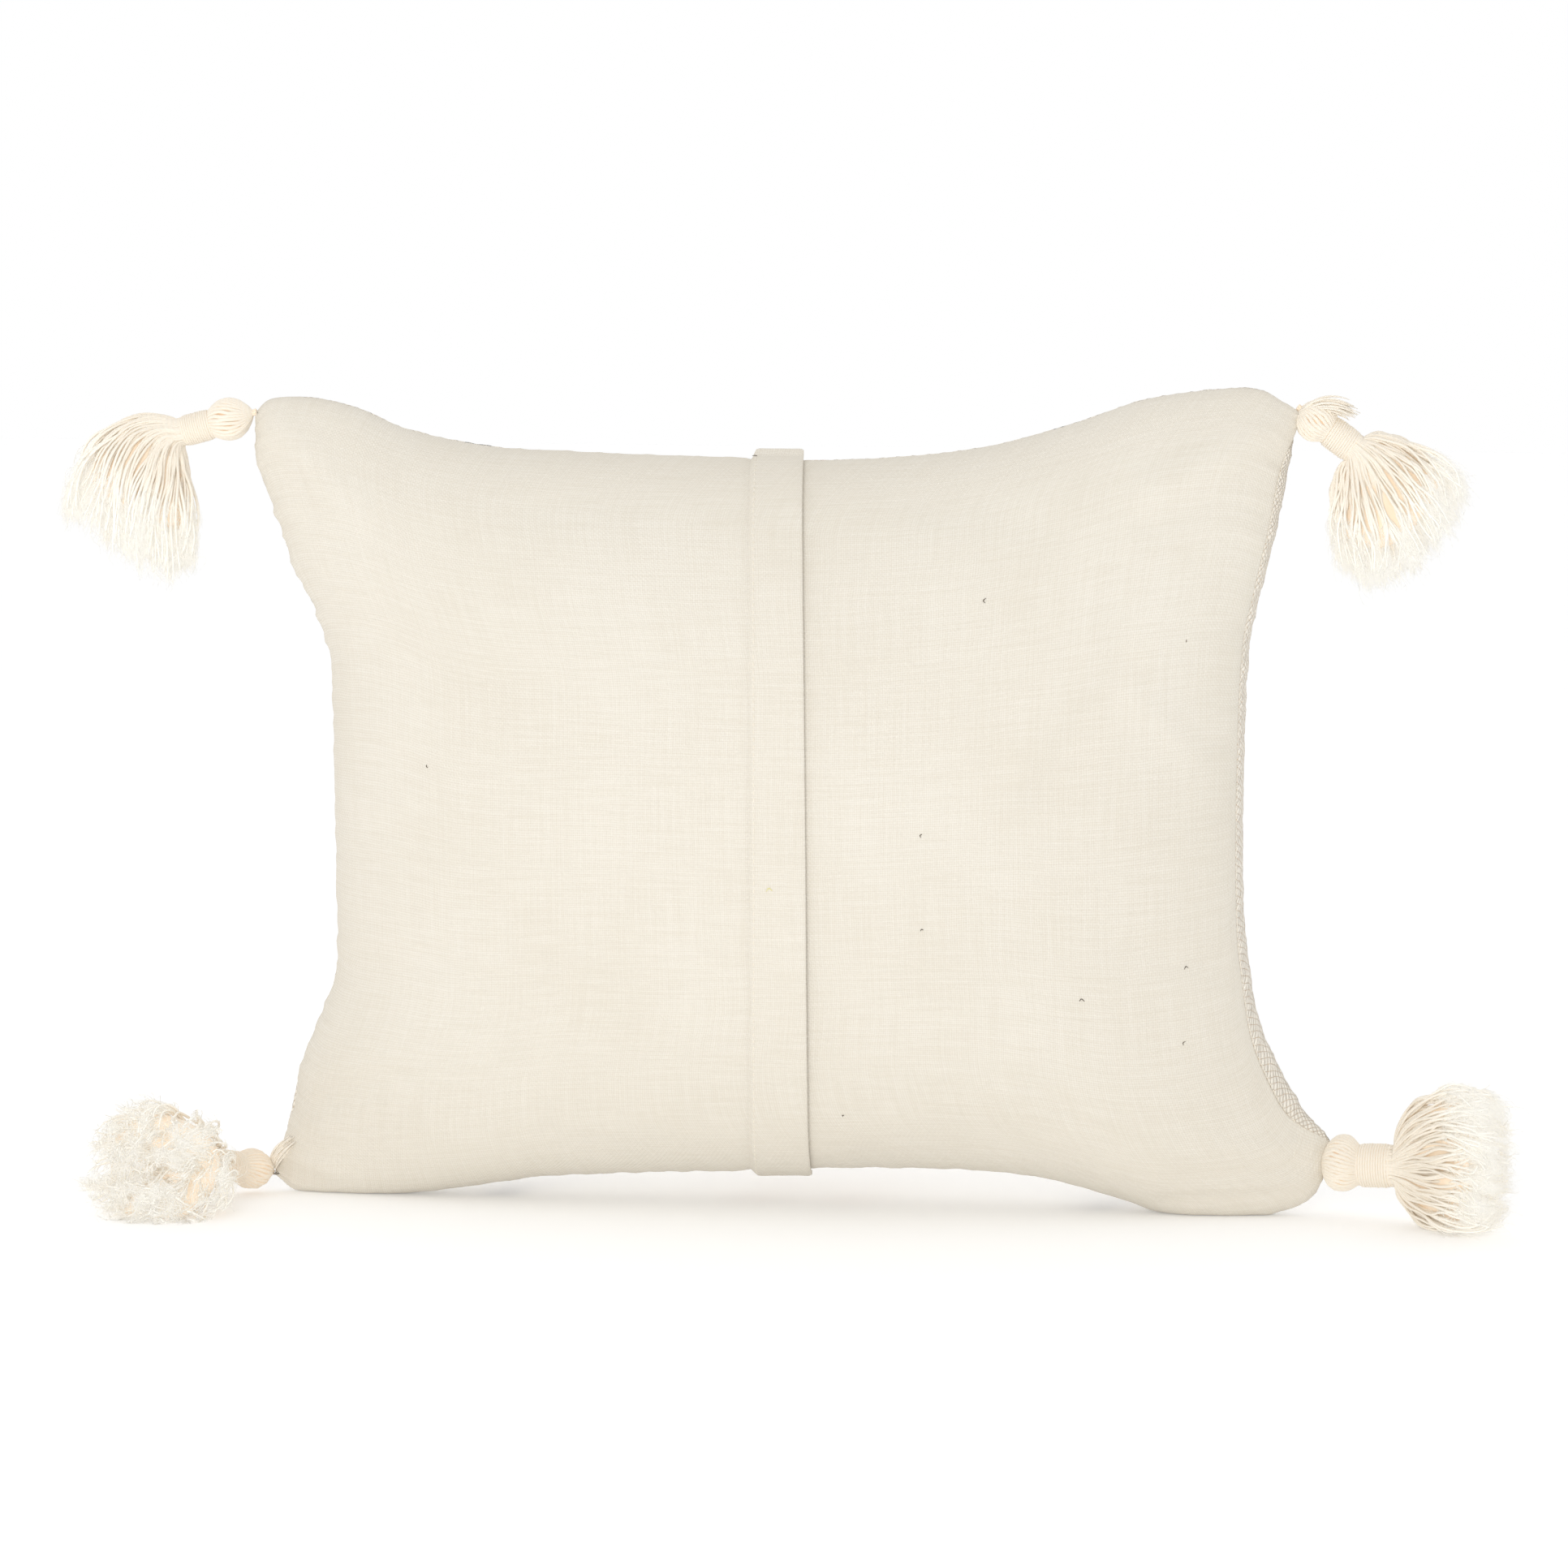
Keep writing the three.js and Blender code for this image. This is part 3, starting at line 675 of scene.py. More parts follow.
def seamShape(u, v, face):
    # along the normal: a groove right at the seam, and puckers that run in from it and die away
    spec = panels["pucker"]
    shift = 0 if face == "back" else 40
    side = {
        "left": (u * width, v * height, 1.0), "right": ((1 - u) * width, v * height, 0.8),
        "bottom": (v * height, u * width, 0.45), "top": ((1 - v) * height, u * width, 0.4),
    }
    total = 0.0
    for number, (away, along, strength) in enumerate(side.values()):
        wave = ripple(along / spec["length"] * fullTurn * 0.6, 11 + number + shift, 4)
        swell = 0.6 + 0.4 * ripple(along / 50.0, 31 + number + shift, 2)
        reach = spec["reach"] * (1 + 0.5 * ripple(along / 21.0, 51 + number + shift, 2))
        bulge = ease(away / 4.0) * np.exp(-away / np.maximum(reach, 5.0))
        total = total + wave * swell * strength * spec["depth"] * bulge * 1.8
    groove = -panels["seamGroove"] * np.exp(-seamDistance(u, v) / 1.1)
    return total + groove


# soft folds of the back: from and to (across, up), half width, height (below 0 for a valley)
folds = [
    ((164, 261), (122, 201), 7.5, -1.9), ((148, 275), (110, 215), 9.0, 1.1),
    ((122, 65), (160, 38), 5.0, -1.6), ((240, 368), (165, 333), 9.5, 2.4),
    ((226, 352), (170, 318), 8.0, -1.5), ((-236, 20), (-205, 11), 5.0, 1.7),
    ((250, 24), (190, 21), 3.6, -1.5), ((244, 12), (182, 9), 3.8, -1.4),
    ((248, 33), (200, 36), 4.5, 1.2), ((-241, 368), (-190, 320), 9.0, 1.8),
    ((-236, 350), (-200, 300), 7.0, -1.3), ((-228, 40), (-170, 62), 8.0, -1.5),
    ((-205, 110), (-150, 118), 9.0, -1.0), ((-204, 190), (-168, 186), 7.0, 0.8),
    ((205, 120), (160, 128), 8.0, -1.0), ((60, 330), (130, 318), 12.0, -0.9),
    ((-120, 322), (-60, 330), 12.0, -0.8), ((40, 28), (120, 40), 10.0, -1.0),
    ((-110, 34), (-40, 28), 10.0, -0.9), ((196, 210), (160, 250), 7.0, 0.9),
]


def foldShape(points):
    # each fold is highest on its line and fades to both sides as a bell curve, and towards its ends
    total = 0.0
    for start, end, halfWidth, rise in folds:
        start, end = np.array(start, float), np.array(end, float)
        along = end - start
        away = points[..., [0, 2]] - start
        share = (away @ along) / (along @ along)
        nearest = away - np.clip(share, 0, 1)[..., None] * along
        fade = ease((share + 0.35) / 0.55) * ease((1.35 - share) / 0.6)
        total = total + rise * fade * np.exp(-(nearest ** 2).sum(-1) / halfWidth ** 2)
    return total


def clothPlaces(u, v):
    return np.stack([u * width, v * height, 0 * u], -1)


def panelRows():
    return spacing(0, height, panels["step"], ((0, 1), (height, -1))) / height


def leftPanel():
    # the left back panel out to the free edge of its hem. Heights along the normal: it rises over the underlap,
    # then by the folded cloth's thickness at the crease, and its free edge rolls over and stands off a little
    spec = panels
    rows = panelRows()
    reach = 0.48 * width                          # about how far the crease is from the left seam
    body = spacing(0, 1, spec["step"] / reach)
    body = np.sort(np.concatenate([body[body * reach > closest], [0.0], np.array(finish) / reach]))
    hem = np.concatenate([[0.03, 0.06, 0.1], np.linspace(0.16, 0.94, 12), [0.965, 0.985, 1.0]])
    along, v = np.meshgrid(np.concatenate([body, 1 + hem]), rows, indexing="ij")
    crease, free = shareAt(spec["crease"], v), shareAt(spec["freeEdge"], v)
    u = np.where(along <= 1, along * crease, crease + (along - 1) * (free - crease))
    points, normals = surfaceOf("back", u, v)
    hemShare = np.clip(along - 1, 0, 1)
    over = spec["overlapRise"] * ease((u - spec["underlap"] + 0.075) / 0.07)
    stand = spec["edgeLift"] * (0.75 + 0.5 * ripple(v * 9, 5)) * np.sin(math.pi * np.clip(v, 0, 1)) ** 0.5
    lift = stand * hemShare ** 2
    pressed = -spec["foldGroove"] * np.exp(-((u - crease) * width / 1.6) ** 2)
    fold = spec["hemRise"] * ease(hemShare / 0.06)
    roll = 0.8 * np.clip((hemShare - 0.93) / 0.07, 0, 1) ** 2
    seam = seamShape(u, v, "back") + foldShape(points)
    outer = points + normals * (over + fold + lift - roll + seam + pressed)[..., None]
    inner = points + normals * (over - spec["cloth"] + lift + seam + 0.25 * roll)[..., None]
    stick = spec["hemEnds"] * ease((hemShare - 0.02) / 0.10)
    for grid in (outer, inner):
        grid[..., 2] += stick * (ease((v - 0.985) / 0.015) - 0.55 * ease((0.015 - v) / 0.015))
    return shellPiece("backPanelLeft", outer, inner, clothPlaces(u, v), clothMaterial), u, v


def rightPanel():
    # the right back panel: the form, with the seam's puckers and the folds along the normal
    spec = panels
    columns = spacing(spec["underlap"] * width, width, spec["step"], ((width, -1),)) / width
    u, v = np.meshgrid(columns, panelRows(), indexing="ij")
    points, normals = surfaceOf("back", u, v)
    outer = points + normals * (seamShape(u, v, "back") + foldShape(points))[..., None]
    inner = outer - normals * spec["cloth"]
    return shellPiece("backPanelRight", outer, inner, clothPlaces(u, v), clothMaterial)


def frontPanel():
    # the heavy front: the same form, raised by the product of two slanting waves, which are its thick yarns
    spec = panels
    columns = spacing(0, width, spec["frontStep"], ((0, 1), (width, -1))) / width
    u, v = np.meshgrid(columns, panelRows(), indexing="ij")
    points, normals = surfaceOf("front", u, v)
    slant = math.pi / basketWeave["yarn"] * halfRoot
    across, up = u * width, v * height
    relief = spec["yarnRelief"] * np.abs(np.sin((across + up) * slant) * np.sin((across - up) * slant))
    seam = seamShape(u, v, "front") + relief
    outer = points + normals * seam[..., None]
    inner = points + normals * (seam - relief - spec["frontCloth"])[..., None]
    return shellPiece("frontPanel", outer, inner, clothPlaces(u, v), frontMaterial, flip=True)


def flapWeight(u, v):
    # how much of the flap's turn a point takes: none at the crease and near the sewn ends, all at mid edge
    crease, free = shareAt(panels["crease"], v), shareAt(panels["freeEdge"], v)
    hinge = ease((u - crease) / (free - crease))
    return hinge * ease((v - 0.06) / 0.30) * ease((0.94 - v) / 0.30)


def bendWithFlap(piece, weights):
    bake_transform(piece)


left, leftU, leftV = leftPanel()
bendWithFlap(left, np.concatenate([flapWeight(leftU, leftV).ravel()] * 2))
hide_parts("back_panel_left", "closure_flap")

right = rightPanel()
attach(right, "cushion")
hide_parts("back_panel_right")

front = frontPanel()
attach(front, "cushion")
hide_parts("front_panel")
print("panels made")


stitches = {
    "length": 2.4, "gap": 1.0, "radius": 0.28, "sides": 6, "steps": 5,
    "hemSink": 1.9, "underlapSink": 1.6,          # how deep each row lies in the cloth, in thread radii
    "inside": 5.0,                                # from the cover's edge to its seams
}


def stitchRow(points, normals, sink):
    # short arched threads one after another along a row of points
    spec = stitches
    distance = np.concatenate([[0], np.cumsum(np.linalg.norm(np.diff(points, axis=0), axis=1))])
    starts = np.arange(0, distance[-1] - spec["length"], spec["length"] + spec["gap"])
    share = np.linspace(0, 1, spec["steps"])
    at = starts[:, None] + share * spec["length"]
    paths = np.stack([np.interp(at, distance, points[:, k]) for k in range(3)], -1)
    lifts = np.stack([np.interp(at, distance, normals[:, k]) for k in range(3)], -1)
    paths = paths + lifts * (spec["radius"] * (2.2 * np.sin(math.pi * share) - sink))[..., None]
    radii = spec["radius"] * (0.75 + 0.25 * np.sin(math.pi * share)) * np.ones(at.shape)
    return tubeArrays(paths, radii, spec["sides"], (0.3, 1.0, 0.2))


def hemLine(u, v, rise):
    points, normals = surfaceOf("back", np.stack([u, u + 0.002], 0), np.stack([v, v], 0))
    return points[0] + normals[0] * rise, normals[0]


def makeHemStitches():
    v = np.linspace(0.02, 0.98, 300)
    crease, free = shareAt(panels["crease"], v), shareAt(panels["freeEdge"], v)
    u = crease + (free - crease) * 0.10
    points, normals = hemLine(u, v, panels["overlapRise"] + panels["hemRise"])
    made, faces, _ = stitchRow(points, normals, stitches["hemSink"])
    piece = makePiece("flapHemStitches", made, faces, threadLook)
    along = np.interp(made[:, 2], points[:, 2], v)
    acrossShare = np.interp(along, v, u)
    bendWithFlap(piece, flapWeight(acrossShare, along))
    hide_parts("flap_hem_stitches")
    u = np.full(v.shape, panels["underlap"] + 0.02)
    points, normals = hemLine(u, v, -panels["cloth"])
    made, faces, _ = stitchRow(points, -normals, stitches["underlapSink"])
    piece = makePiece("underlapHemStitches", made, faces, threadLook)
    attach(piece, "cushion")
    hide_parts("underlap_hem_stitches")


def makeSeamStitches():
    # stitches that join the panels, just inside each edge
    t = np.linspace(0.03, 0.97, 400)
    across, up = stitches["inside"] / width, stitches["inside"] / height
    lines = {
        "left": (across + 0 * t, t), "right": (1 - across + 0 * t, t),
        "bottom": (t, up + 0 * t), "top": (t, 1 - up + 0 * t),
    }
    for side, (u, v) in lines.items():
        middle = (sampleForm(formBack, u, v) + sampleForm(formFront, u, v)) / 2
        normals = unit(sampleForm(formFront, u, v) - sampleForm(formBack, u, v))
        made, faces, _ = stitchRow(middle, normals, 0.0)
        piece = makePiece(f"coverSeam{side.capitalize()}", made, faces, threadLook)
        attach(piece, "cushion")
        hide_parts(f"cover_seam_{side}")


makeHemStitches()
makeSeamStitches()
print("stitches made")


insert = {"columns": 110, "rows": 88, "casingInset": 5.5, "fibreInset": 8.0, "lump": 0.9, "edge": 0.016}


def closedPad(name, inset, lump, material):
    # the cover's two faces moved inwards and joined at the seam, with soft lumps of filling
    first, last = insert["edge"], 1 - insert["edge"]
    u, v = np.meshgrid(np.linspace(first, last, insert["columns"]), np.linspace(first, last, insert["rows"]),
                       indexing="ij")
    faces = {}
    for face in ("back", "front"):
        points, normals = surfaceOf(face, u, v)
        lumps = lump * ripple(u * 40, 3, 3) * ripple(v * 33, 4, 3)
        faces[face] = points - normals * (inset - lumps)[..., None] * ease(seamDistance(u, v) / 40)[..., None]
    border = borderOf(u.shape)
    middle = (faces["back"] + faces["front"]) / 2
    faces["back"][border] = middle[border]
    points, backAt, frontAt = sewn(faces["back"], faces["front"], border)
    centre = points.mean(0)
    points = centre + (points - centre) * (1 - 2 * inset / height * np.array([0.7, 0.0, 1.0]))
    piece = makePiece(name, points, [quads(backAt), quads(frontAt)[:, ::-1]], material)
    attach(piece, "cushion")
    return piece


casing = closedPad("insertCasing", insert["casingInset"], 0.5, casingLook)
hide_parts("insert_casing_back", "insert_casing_front", "insert_seam_bottom", "insert_seam_top")
fibre = closedPad("fibreFilling", insert["fibreInset"], insert["lump"], fibreLook)
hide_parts("fibre_filling")
print("insert made")


# bits of seed husk caught in the cloth: place on the cloth (across, up), length and turn
flecks = {
    "dark": [(244, 393, 2.0, 0.3), (370, 301, 2.2, 1.5), (467, 138, 2.0, 0.2), (416, 127, 2.4, 0.1),
             (462, 107, 1.8, 0.9), (215, 278, 2.0, 0.2), (142, 109, 2.6, 1.8), (343, 198, 1.6, 1.2),
             (343, 155, 1.4, 0.4), (300, 60, 1.2, 0.8), (88, 222, 1.3, 2.2)],
    "yellow": [(270, 175, 3.0, 0.1)],
}
fleck = {"radius": 0.24, "sides": 5, "steps": 6, "onHem": 2.75, "bare": 0.1}
fleckLooks = {
    "dark": {"colour": (0.10, 0.075, 0.05), "dark": (0.05, 0.035, 0.025), "bump": 0.3, "roughness": 0.9,
             "specular": 0.1, "sheen": 0.0},
    "yellow": {"colour": (0.78, 0.74, 0.30), "dark": (0.70, 0.62, 0.24), "bump": 0.3, "roughness": 0.9,
               "specular": 0.1, "sheen": 0.0},
}


def makeFlecks(tint, places):
    # each bit of husk is a short thin tube with a slight curl, just proud of the cloth
    across, up, length, turn = np.array(places).T
    step = np.linspace(-0.5, 0.5, fleck["steps"])[None, :]
    curl = 0.25 * length[:, None] * np.cos(step * 5)
    ahead, cosine, sine = length[:, None] * step, np.cos(turn)[:, None], np.sin(turn)[:, None]
    u = (across[:, None] + ahead * cosine - curl * sine) / width
    v = (up[:, None] + ahead * sine + curl * cosine) / height
    points = sampleForm(formBack, u, v)
    toRight = sampleForm(formBack, u + 0.002, v) - points
    toTop = sampleForm(formBack, u, v + 0.002) - points
    normals = unit(np.cross(toRight, toTop))
    onHem = (u > shareAt(panels["crease"], v)) & (u < shareAt(panels["freeEdge"], v))
    rise = np.where(onHem, fleck["onHem"], fleck["bare"]) + foldShape(points)
    paths = points + normals * rise[..., None]
    radii = fleck["radius"] * np.interp(step, [-0.5, 0, 0.5], [0.4, 1.0, 0.5]) * np.ones((len(places), 1))
    tubes, faces, _ = tubeArrays(paths, radii, fleck["sides"], (0.2, 1.0, 0.1))
    husk = fibrousMaterial(f"{tint}Husk", fleckLooks[tint], 900.0)
    piece = makePiece(f"{tint}Flecks", tubes, faces, husk)
    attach(piece, "cushion")


for tint, places in flecks.items():
    makeFlecks(tint, places)
print("flecks made")


# Each tassel has a frame at its corner: the axis runs out along the head and the neck binding. Its skirt is set
# by three middle lines of yarn, an inner, a middle and an outer one, each as three points after the neck, and by
# how far the yarn stands off those lines to either side.
tassels = {
    "topLeft": {
        "node": "tassel_top_left", "corner": (-246, 0, 367), "axis": (-0.965, 0, -0.26), "seed": 3,
        "tie": 4.6,
        "head": {"tone": 0.0, "length": 15.0, "radius": 9.8, "from": 1.3, "full": 0.85, "widest": 0.56,
                 "lean": 0.14, "leanTurn": 1.2, "lobes": 0.12, "twist": 0.55},
        "binding": {"length": 16.0, "radius": 7.4, "turns": 14},
        "skirt": {
            "lines": [[(-282, 0, 350), (-275, 0, 324), (-281, 0, 294)],
                      [(-298, 0, 362), (-306, 0, 337), (-306, 0, 303)],
                      [(-301, 0, 371), (-329, 0, 355), (-332, 0, 323)]],
            "aside": [(0, 9, 0), (0, 20, 0), (0, 20, 0)],
            "strands": 300, "inner": 0.15, "wave": 2.2, "fuzz": 1.5, "normal": (0, 1, 0)},
    },
    "topRight": {
        "node": "tassel_top_right", "corner": (237, 0, 373.3), "axis": (0.81, 0, -0.585), "seed": 5,
        "tie": 1.2,
        "head": {"tone": 0.0, "length": 14.0, "radius": 9.8, "from": 1.0, "full": 0.65, "widest": 0.55,
                 "lean": 0.05, "leanTurn": 1.2, "lobes": 0.05, "twist": 0.25,
                 "tuft": ((239, -3, 371), (248, -6, 378), (260, -5, 372)),
                 "tuftSpread": 2.0, "tuftBody": "head"},
        "binding": {"length": 15.0, "radius": 7.7, "turns": 12},
        "skirt": {
            "lines": [[(255, 0, 348), (251, 0, 326), (260, 0, 302)],
                      [(272, 0, 344), (280, 0, 321), (285, 0, 300)],
                      [(276, 0, 365), (300, 0, 353), (311, 0, 333)]],
            "aside": [(0, 9, 0), (0, 17, 0), (0, 19, 0)],
            "strands": 290, "inner": 0.15, "wave": 2.2, "fuzz": 1.5, "normal": (0, 1, 0)},
    },
    "bottomLeft": {
        "node": "tassel_bottom_left", "corner": (-239, 0, 9), "axis": (-0.58, -0.78, 0.22), "seed": 8,
        "tie": 4.6,
        # the head's tone is painted shade added to its whole head and binding: this head lies in shade
        "head": {"tone": 0.3, "length": 14.0, "radius": 9.8, "from": 1.6, "full": 0.8, "widest": 0.6,
                 "lean": 0.04, "leanTurn": 0.0, "lobes": 0.04, "twist": 0.2,
                 "tuft": ((-237.5, -3.5, 12.5), (-235.5, -7, 19), (-228, -7.5, 24.5)),
                 "tuftSpread": 1.3, "tuftBody": "cushion"},
        "binding": {"length": 15.0, "radius": 7.4, "turns": 12},
        "skirt": {
            "lines": [[(-277, -37, 20), (-306, -48, 22.5), (-307, -68, 22)],
                      [(-268, -45, 19), (-279, -66, 22.5), (-281, -86, 22)],
                      [(-256, -42, 19), (-245, -56, 22.5), (-247, -74, 22)]],
            "aside": [(0, -2, 16), (0, 7, 28.5), (0, 9, 27.5)],
            "strands": 330, "inner": 0.6, "wave": 3.6, "fuzz": 2.8, "normal": (0, 0, 1)},
    },
    "bottomRight": {
        "node": "tassel_bottom_right", "corner": (257, -0.8, 24.5), "axis": (0.963, -0.265, 0.045),
        "seed": 13,
        "tie": 1.2,
        "head": {"tone": 0.0, "length": 12.0, "radius": 13.2, "from": -2.2, "full": 0.6, "widest": 0.55,
                 "lean": 0.05, "leanTurn": 0.0, "lobes": 0.06, "twist": 0.35},
        "binding": {"length": 17.0, "radius": 10.3, "turns": 13},
        "skirt": {
            "lines": [[(290, -14, 6), (309, -32, -1), (328, -44, 8)],
                      [(303, -19, 29), (317, -40, 33), (330, -52, 35)],
                      [(288, -15, 53), (303, -30, 69), (328, -43, 61)]],
            "aside": [(3, 12, 0), (6, 21, 0), (5, 22, 0)],
            "strands": 320, "inner": 0.3, "wave": 3.0, "fuzz": 2.3, "normal": (0.3, 0.95, 0)},
    },
}
strand = {"radius": 0.66, "sides": 5, "steps": 22, "clumps": 34, "startInside": 4.0, "taper": 0.5,
          "stray": 1.7, "front": -88.0, "give": 7.5}
fluff = {"count": 8600, "radius": 0.085, "from": 0.62, "reach": (4.0, 11.0), "spread": 1.5, "tips": 46,
         "gather": 0.85}
headYarn = {"radius": 0.92, "steps": 24, "sides": 7}
# the skirt's core is tinted throughout with painted warm shade
core = {"angles": 32, "reach": 0.93, "ends": 0.80, "steps": 20, "shadeWarmth": 0.65}
tie = {"start": -0.5, "past": 0.6, "strands": 5, "radius": 0.75}
neckGap = 1.0                                     # from the head to the first turn of the binding
outside = 0.12                                    # the least painted warm shade of yarn that hasn't come undone


def yarnPiece(name, points, faces, place):
    return makePiece(name, points, faces, yarnLook, {"yarnPlaceAndShade": place})


def axisFrame(axis):
    along = unit(np.array(axis, float))
    side = unit(np.cross(along, (0.0, 1.0, 0.0) if abs(along[1]) < 0.7 else (0.0, 0.0, 1.0)))
    return along, side, np.cross(along, side)


def onAxis(spec, distance, radius, turn):
    # points at a distance along a tassel's axis, and at a radius and a turn round it
    along, side, third = axisFrame(spec["axis"])
    distance, radius, turn = (np.asarray(x, float)[..., None] for x in (distance, radius, turn))
    return (np.array(spec["corner"], float) + along * distance
            + (side * np.cos(turn) + third * np.sin(turn)) * radius)


def fromAxis(spec, points):
    along, _, _ = axisFrame(spec["axis"])
    away = points - np.array(spec["corner"], float)
    return np.linalg.norm(away - (away @ along)[..., None] * along, axis=-1)


def neckPlace(spec):
    bindingFrom = spec["tie"] + spec["head"]["length"] + neckGap
    return bindingFrom, bindingFrom + spec["binding"]["length"]


def tieYarn(name, spec):
    # a few yarns from inside the cover's corner to the head
    draw = np.random.default_rng(spec["seed"] + 100)
    turn = np.arange(tie["strands"]) / tie["strands"] * fullTurn + draw.uniform(0, 1)
    share = np.linspace(0, 1, 8)
    distance = tie["start"] + (spec["tie"] + tie["past"] - tie["start"]) * share
    radius = 0.7 + 0.35 * np.abs(share - 0.45)[None, :] * 2 + 0 * turn[:, None]
    paths = onAxis(spec, distance + 0 * turn[:, None], radius, turn[:, None] + share * 0.8)
    radii = np.full(paths.shape[:2], tie["radius"])
    points, faces, place = tubeArrays(paths, radii, 6, spec["skirt"]["normal"])
    # the tie takes a fixed share of the painted warm shade
    place[:, 2] = 0.6
    piece = yarnPiece(f"{name}TasselTie", points, faces, place)
    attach(piece, f"{spec['node']}_tie")
    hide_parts(f"{spec['node']}_tie")


def headYarns(name, spec):
    # yarn looped through the tie: it swells from the corner and is drawn in again under the binding. The side
    # of each yarn that faces the axis is tinted warm as painted shade, which shows in the grooves between the
    # yarns
    head, draw = spec["head"], np.random.default_rng(spec["seed"])
    bindingFrom, _ = neckPlace(spec)
    start, end = head["from"], bindingFrom + 1.5
    count = int(fullTurn * head["radius"] / (headYarn["radius"] * 2.1))
    turn = np.arange(count)[:, None] / count * fullTurn
    share = np.linspace(0, 1, headYarn["steps"])[None, :]
    widest = head["widest"] + head["lean"] * np.cos(turn - head["leanTurn"])
    shifted = np.where(share < widest, share / widest * 0.5, 0.5 + (share - widest) / (1 - widest) * 0.5)
    shifted = np.where(shifted < 0.5, 0.5 * (shifted * 2) ** head["full"], shifted)
    profile = np.interp(shifted, [0, 0.05, 0.14, 0.27, 0.4, 0.5, 0.62, 0.75, 0.88, 1.0],
                        [0.10, 0.24, 0.50, 0.80, 0.97, 1.0, 0.98, 0.90, 0.77, 0.66])
    swell = np.sin(math.pi * share)
    uneven = 0.05 * ripple(turn * 3, spec["seed"])
    bulge = 1 + swell * (head["lobes"] * np.cos(turn - head["leanTurn"]) + uneven)
    radius = head["radius"] * profile * bulge + draw.uniform(-0.45, 0.25, (count, 1)) * swell
    radius = radius - headYarn["radius"]
    radius = np.maximum(radius, 0.35)
    wander = 0.07 * ripple(share * 6 + turn * 5, spec["seed"] + 1) * swell
    paths = onAxis(spec, start + (end - start) * share + 0 * turn, radius, turn + head["twist"] * share + wander)
    width = headYarn["radius"] * np.clip(0.35 + 0.75 * profile, 0.4, 1.05)
    width = width * draw.uniform(0.9, 1.08, (count, 1))
    sides = headYarn["sides"]
    points, faces, place = tubeArrays(paths, width, sides, (0.31, 0.57, 0.76))
    depth = np.repeat(fromAxis(spec, paths).ravel(), sides) - fromAxis(spec, points)
    facing = depth / np.repeat(width.ravel(), sides)
    # painted shade: the axis side of each yarn is tinted warm, plus the head's tone of painted shade
    place[:, 2] = np.maximum(outside, 0.5 + 0.6 * facing) + head["tone"]
    parts = [(points, faces, place)]
    inner = np.linspace(0, 1, 12)
    ringTurn = np.arange(20) / 20 * fullTurn
    coreRadius = np.maximum(np.interp(inner, share[0], radius.mean(0)) - 0.5, 0.3)
    ring = onAxis(spec, (start + 0.8 + (end - start - 1) * inner)[:, None] + 0 * ringTurn,
                  coreRadius[:, None] + 0 * ringTurn, ringTurn + 0 * inner[:, None])
    at = np.arange(ring.shape[0] * ring.shape[1]).reshape(ring.shape[:2])
    following = np.roll(at, -1, axis=1)
    walls = np.stack([at[:-1], following[:-1], following[1:], at[1:]], -1).reshape(-1, 4)
    # the inner body under the yarns is coloured fully with the painted warm shade, so the gaps show shade
    coreShadePlace = np.zeros((ring.shape[0] * ring.shape[1], 3))
    coreShadePlace[:, 2] = 1.0
    parts.append((ring.reshape(-1, 3), [walls, at[:1, ::-1], at[-1:]], coreShadePlace))
    if head.get("tuftBody") == "head":
        parts.append(tuftYarns(head, draw))
    points, faces, place = joinArrays(parts)
    piece = yarnPiece(f"{name}TasselHead", points, faces, place)
    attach(piece, f"{spec['node']}_head")
    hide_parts(f"{spec['node']}_head")


def tuftYarns(head, draw):
    # a few cut ends that lie over the head and fan out past it
    start, bend, tip = np.array(head["tuft"], float)
    count, share = 90, np.linspace(0, 1, 9)[None, :, None]
    fan = draw.normal(0, 0.9, (count, 3))
    first, last = start + fan * 0.7, tip + fan * head["tuftSpread"]
    middle = bend + fan * 1.5
    paths = (first[:, None] * (1 - share) ** 2 + 2 * middle[:, None] * share * (1 - share)
             + last[:, None] * share ** 2)
    radii = np.interp(share[0, :, 0], [0, 0.7, 1], [0.6, 0.5, 0.15]) * np.ones((count, 1))
    return tubeArrays(paths, radii, 4, (0.2, 0.9, 0.4))


def cornerTuft(name, spec):
    # cut ends of the yarn that is sewn into the cover's corner
    points, faces, place = tuftYarns(spec["head"], np.random.default_rng(spec["seed"] + 300))
    piece = yarnPiece(f"{name}CornerTuft", points, faces, place)
    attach(piece, "cushion")


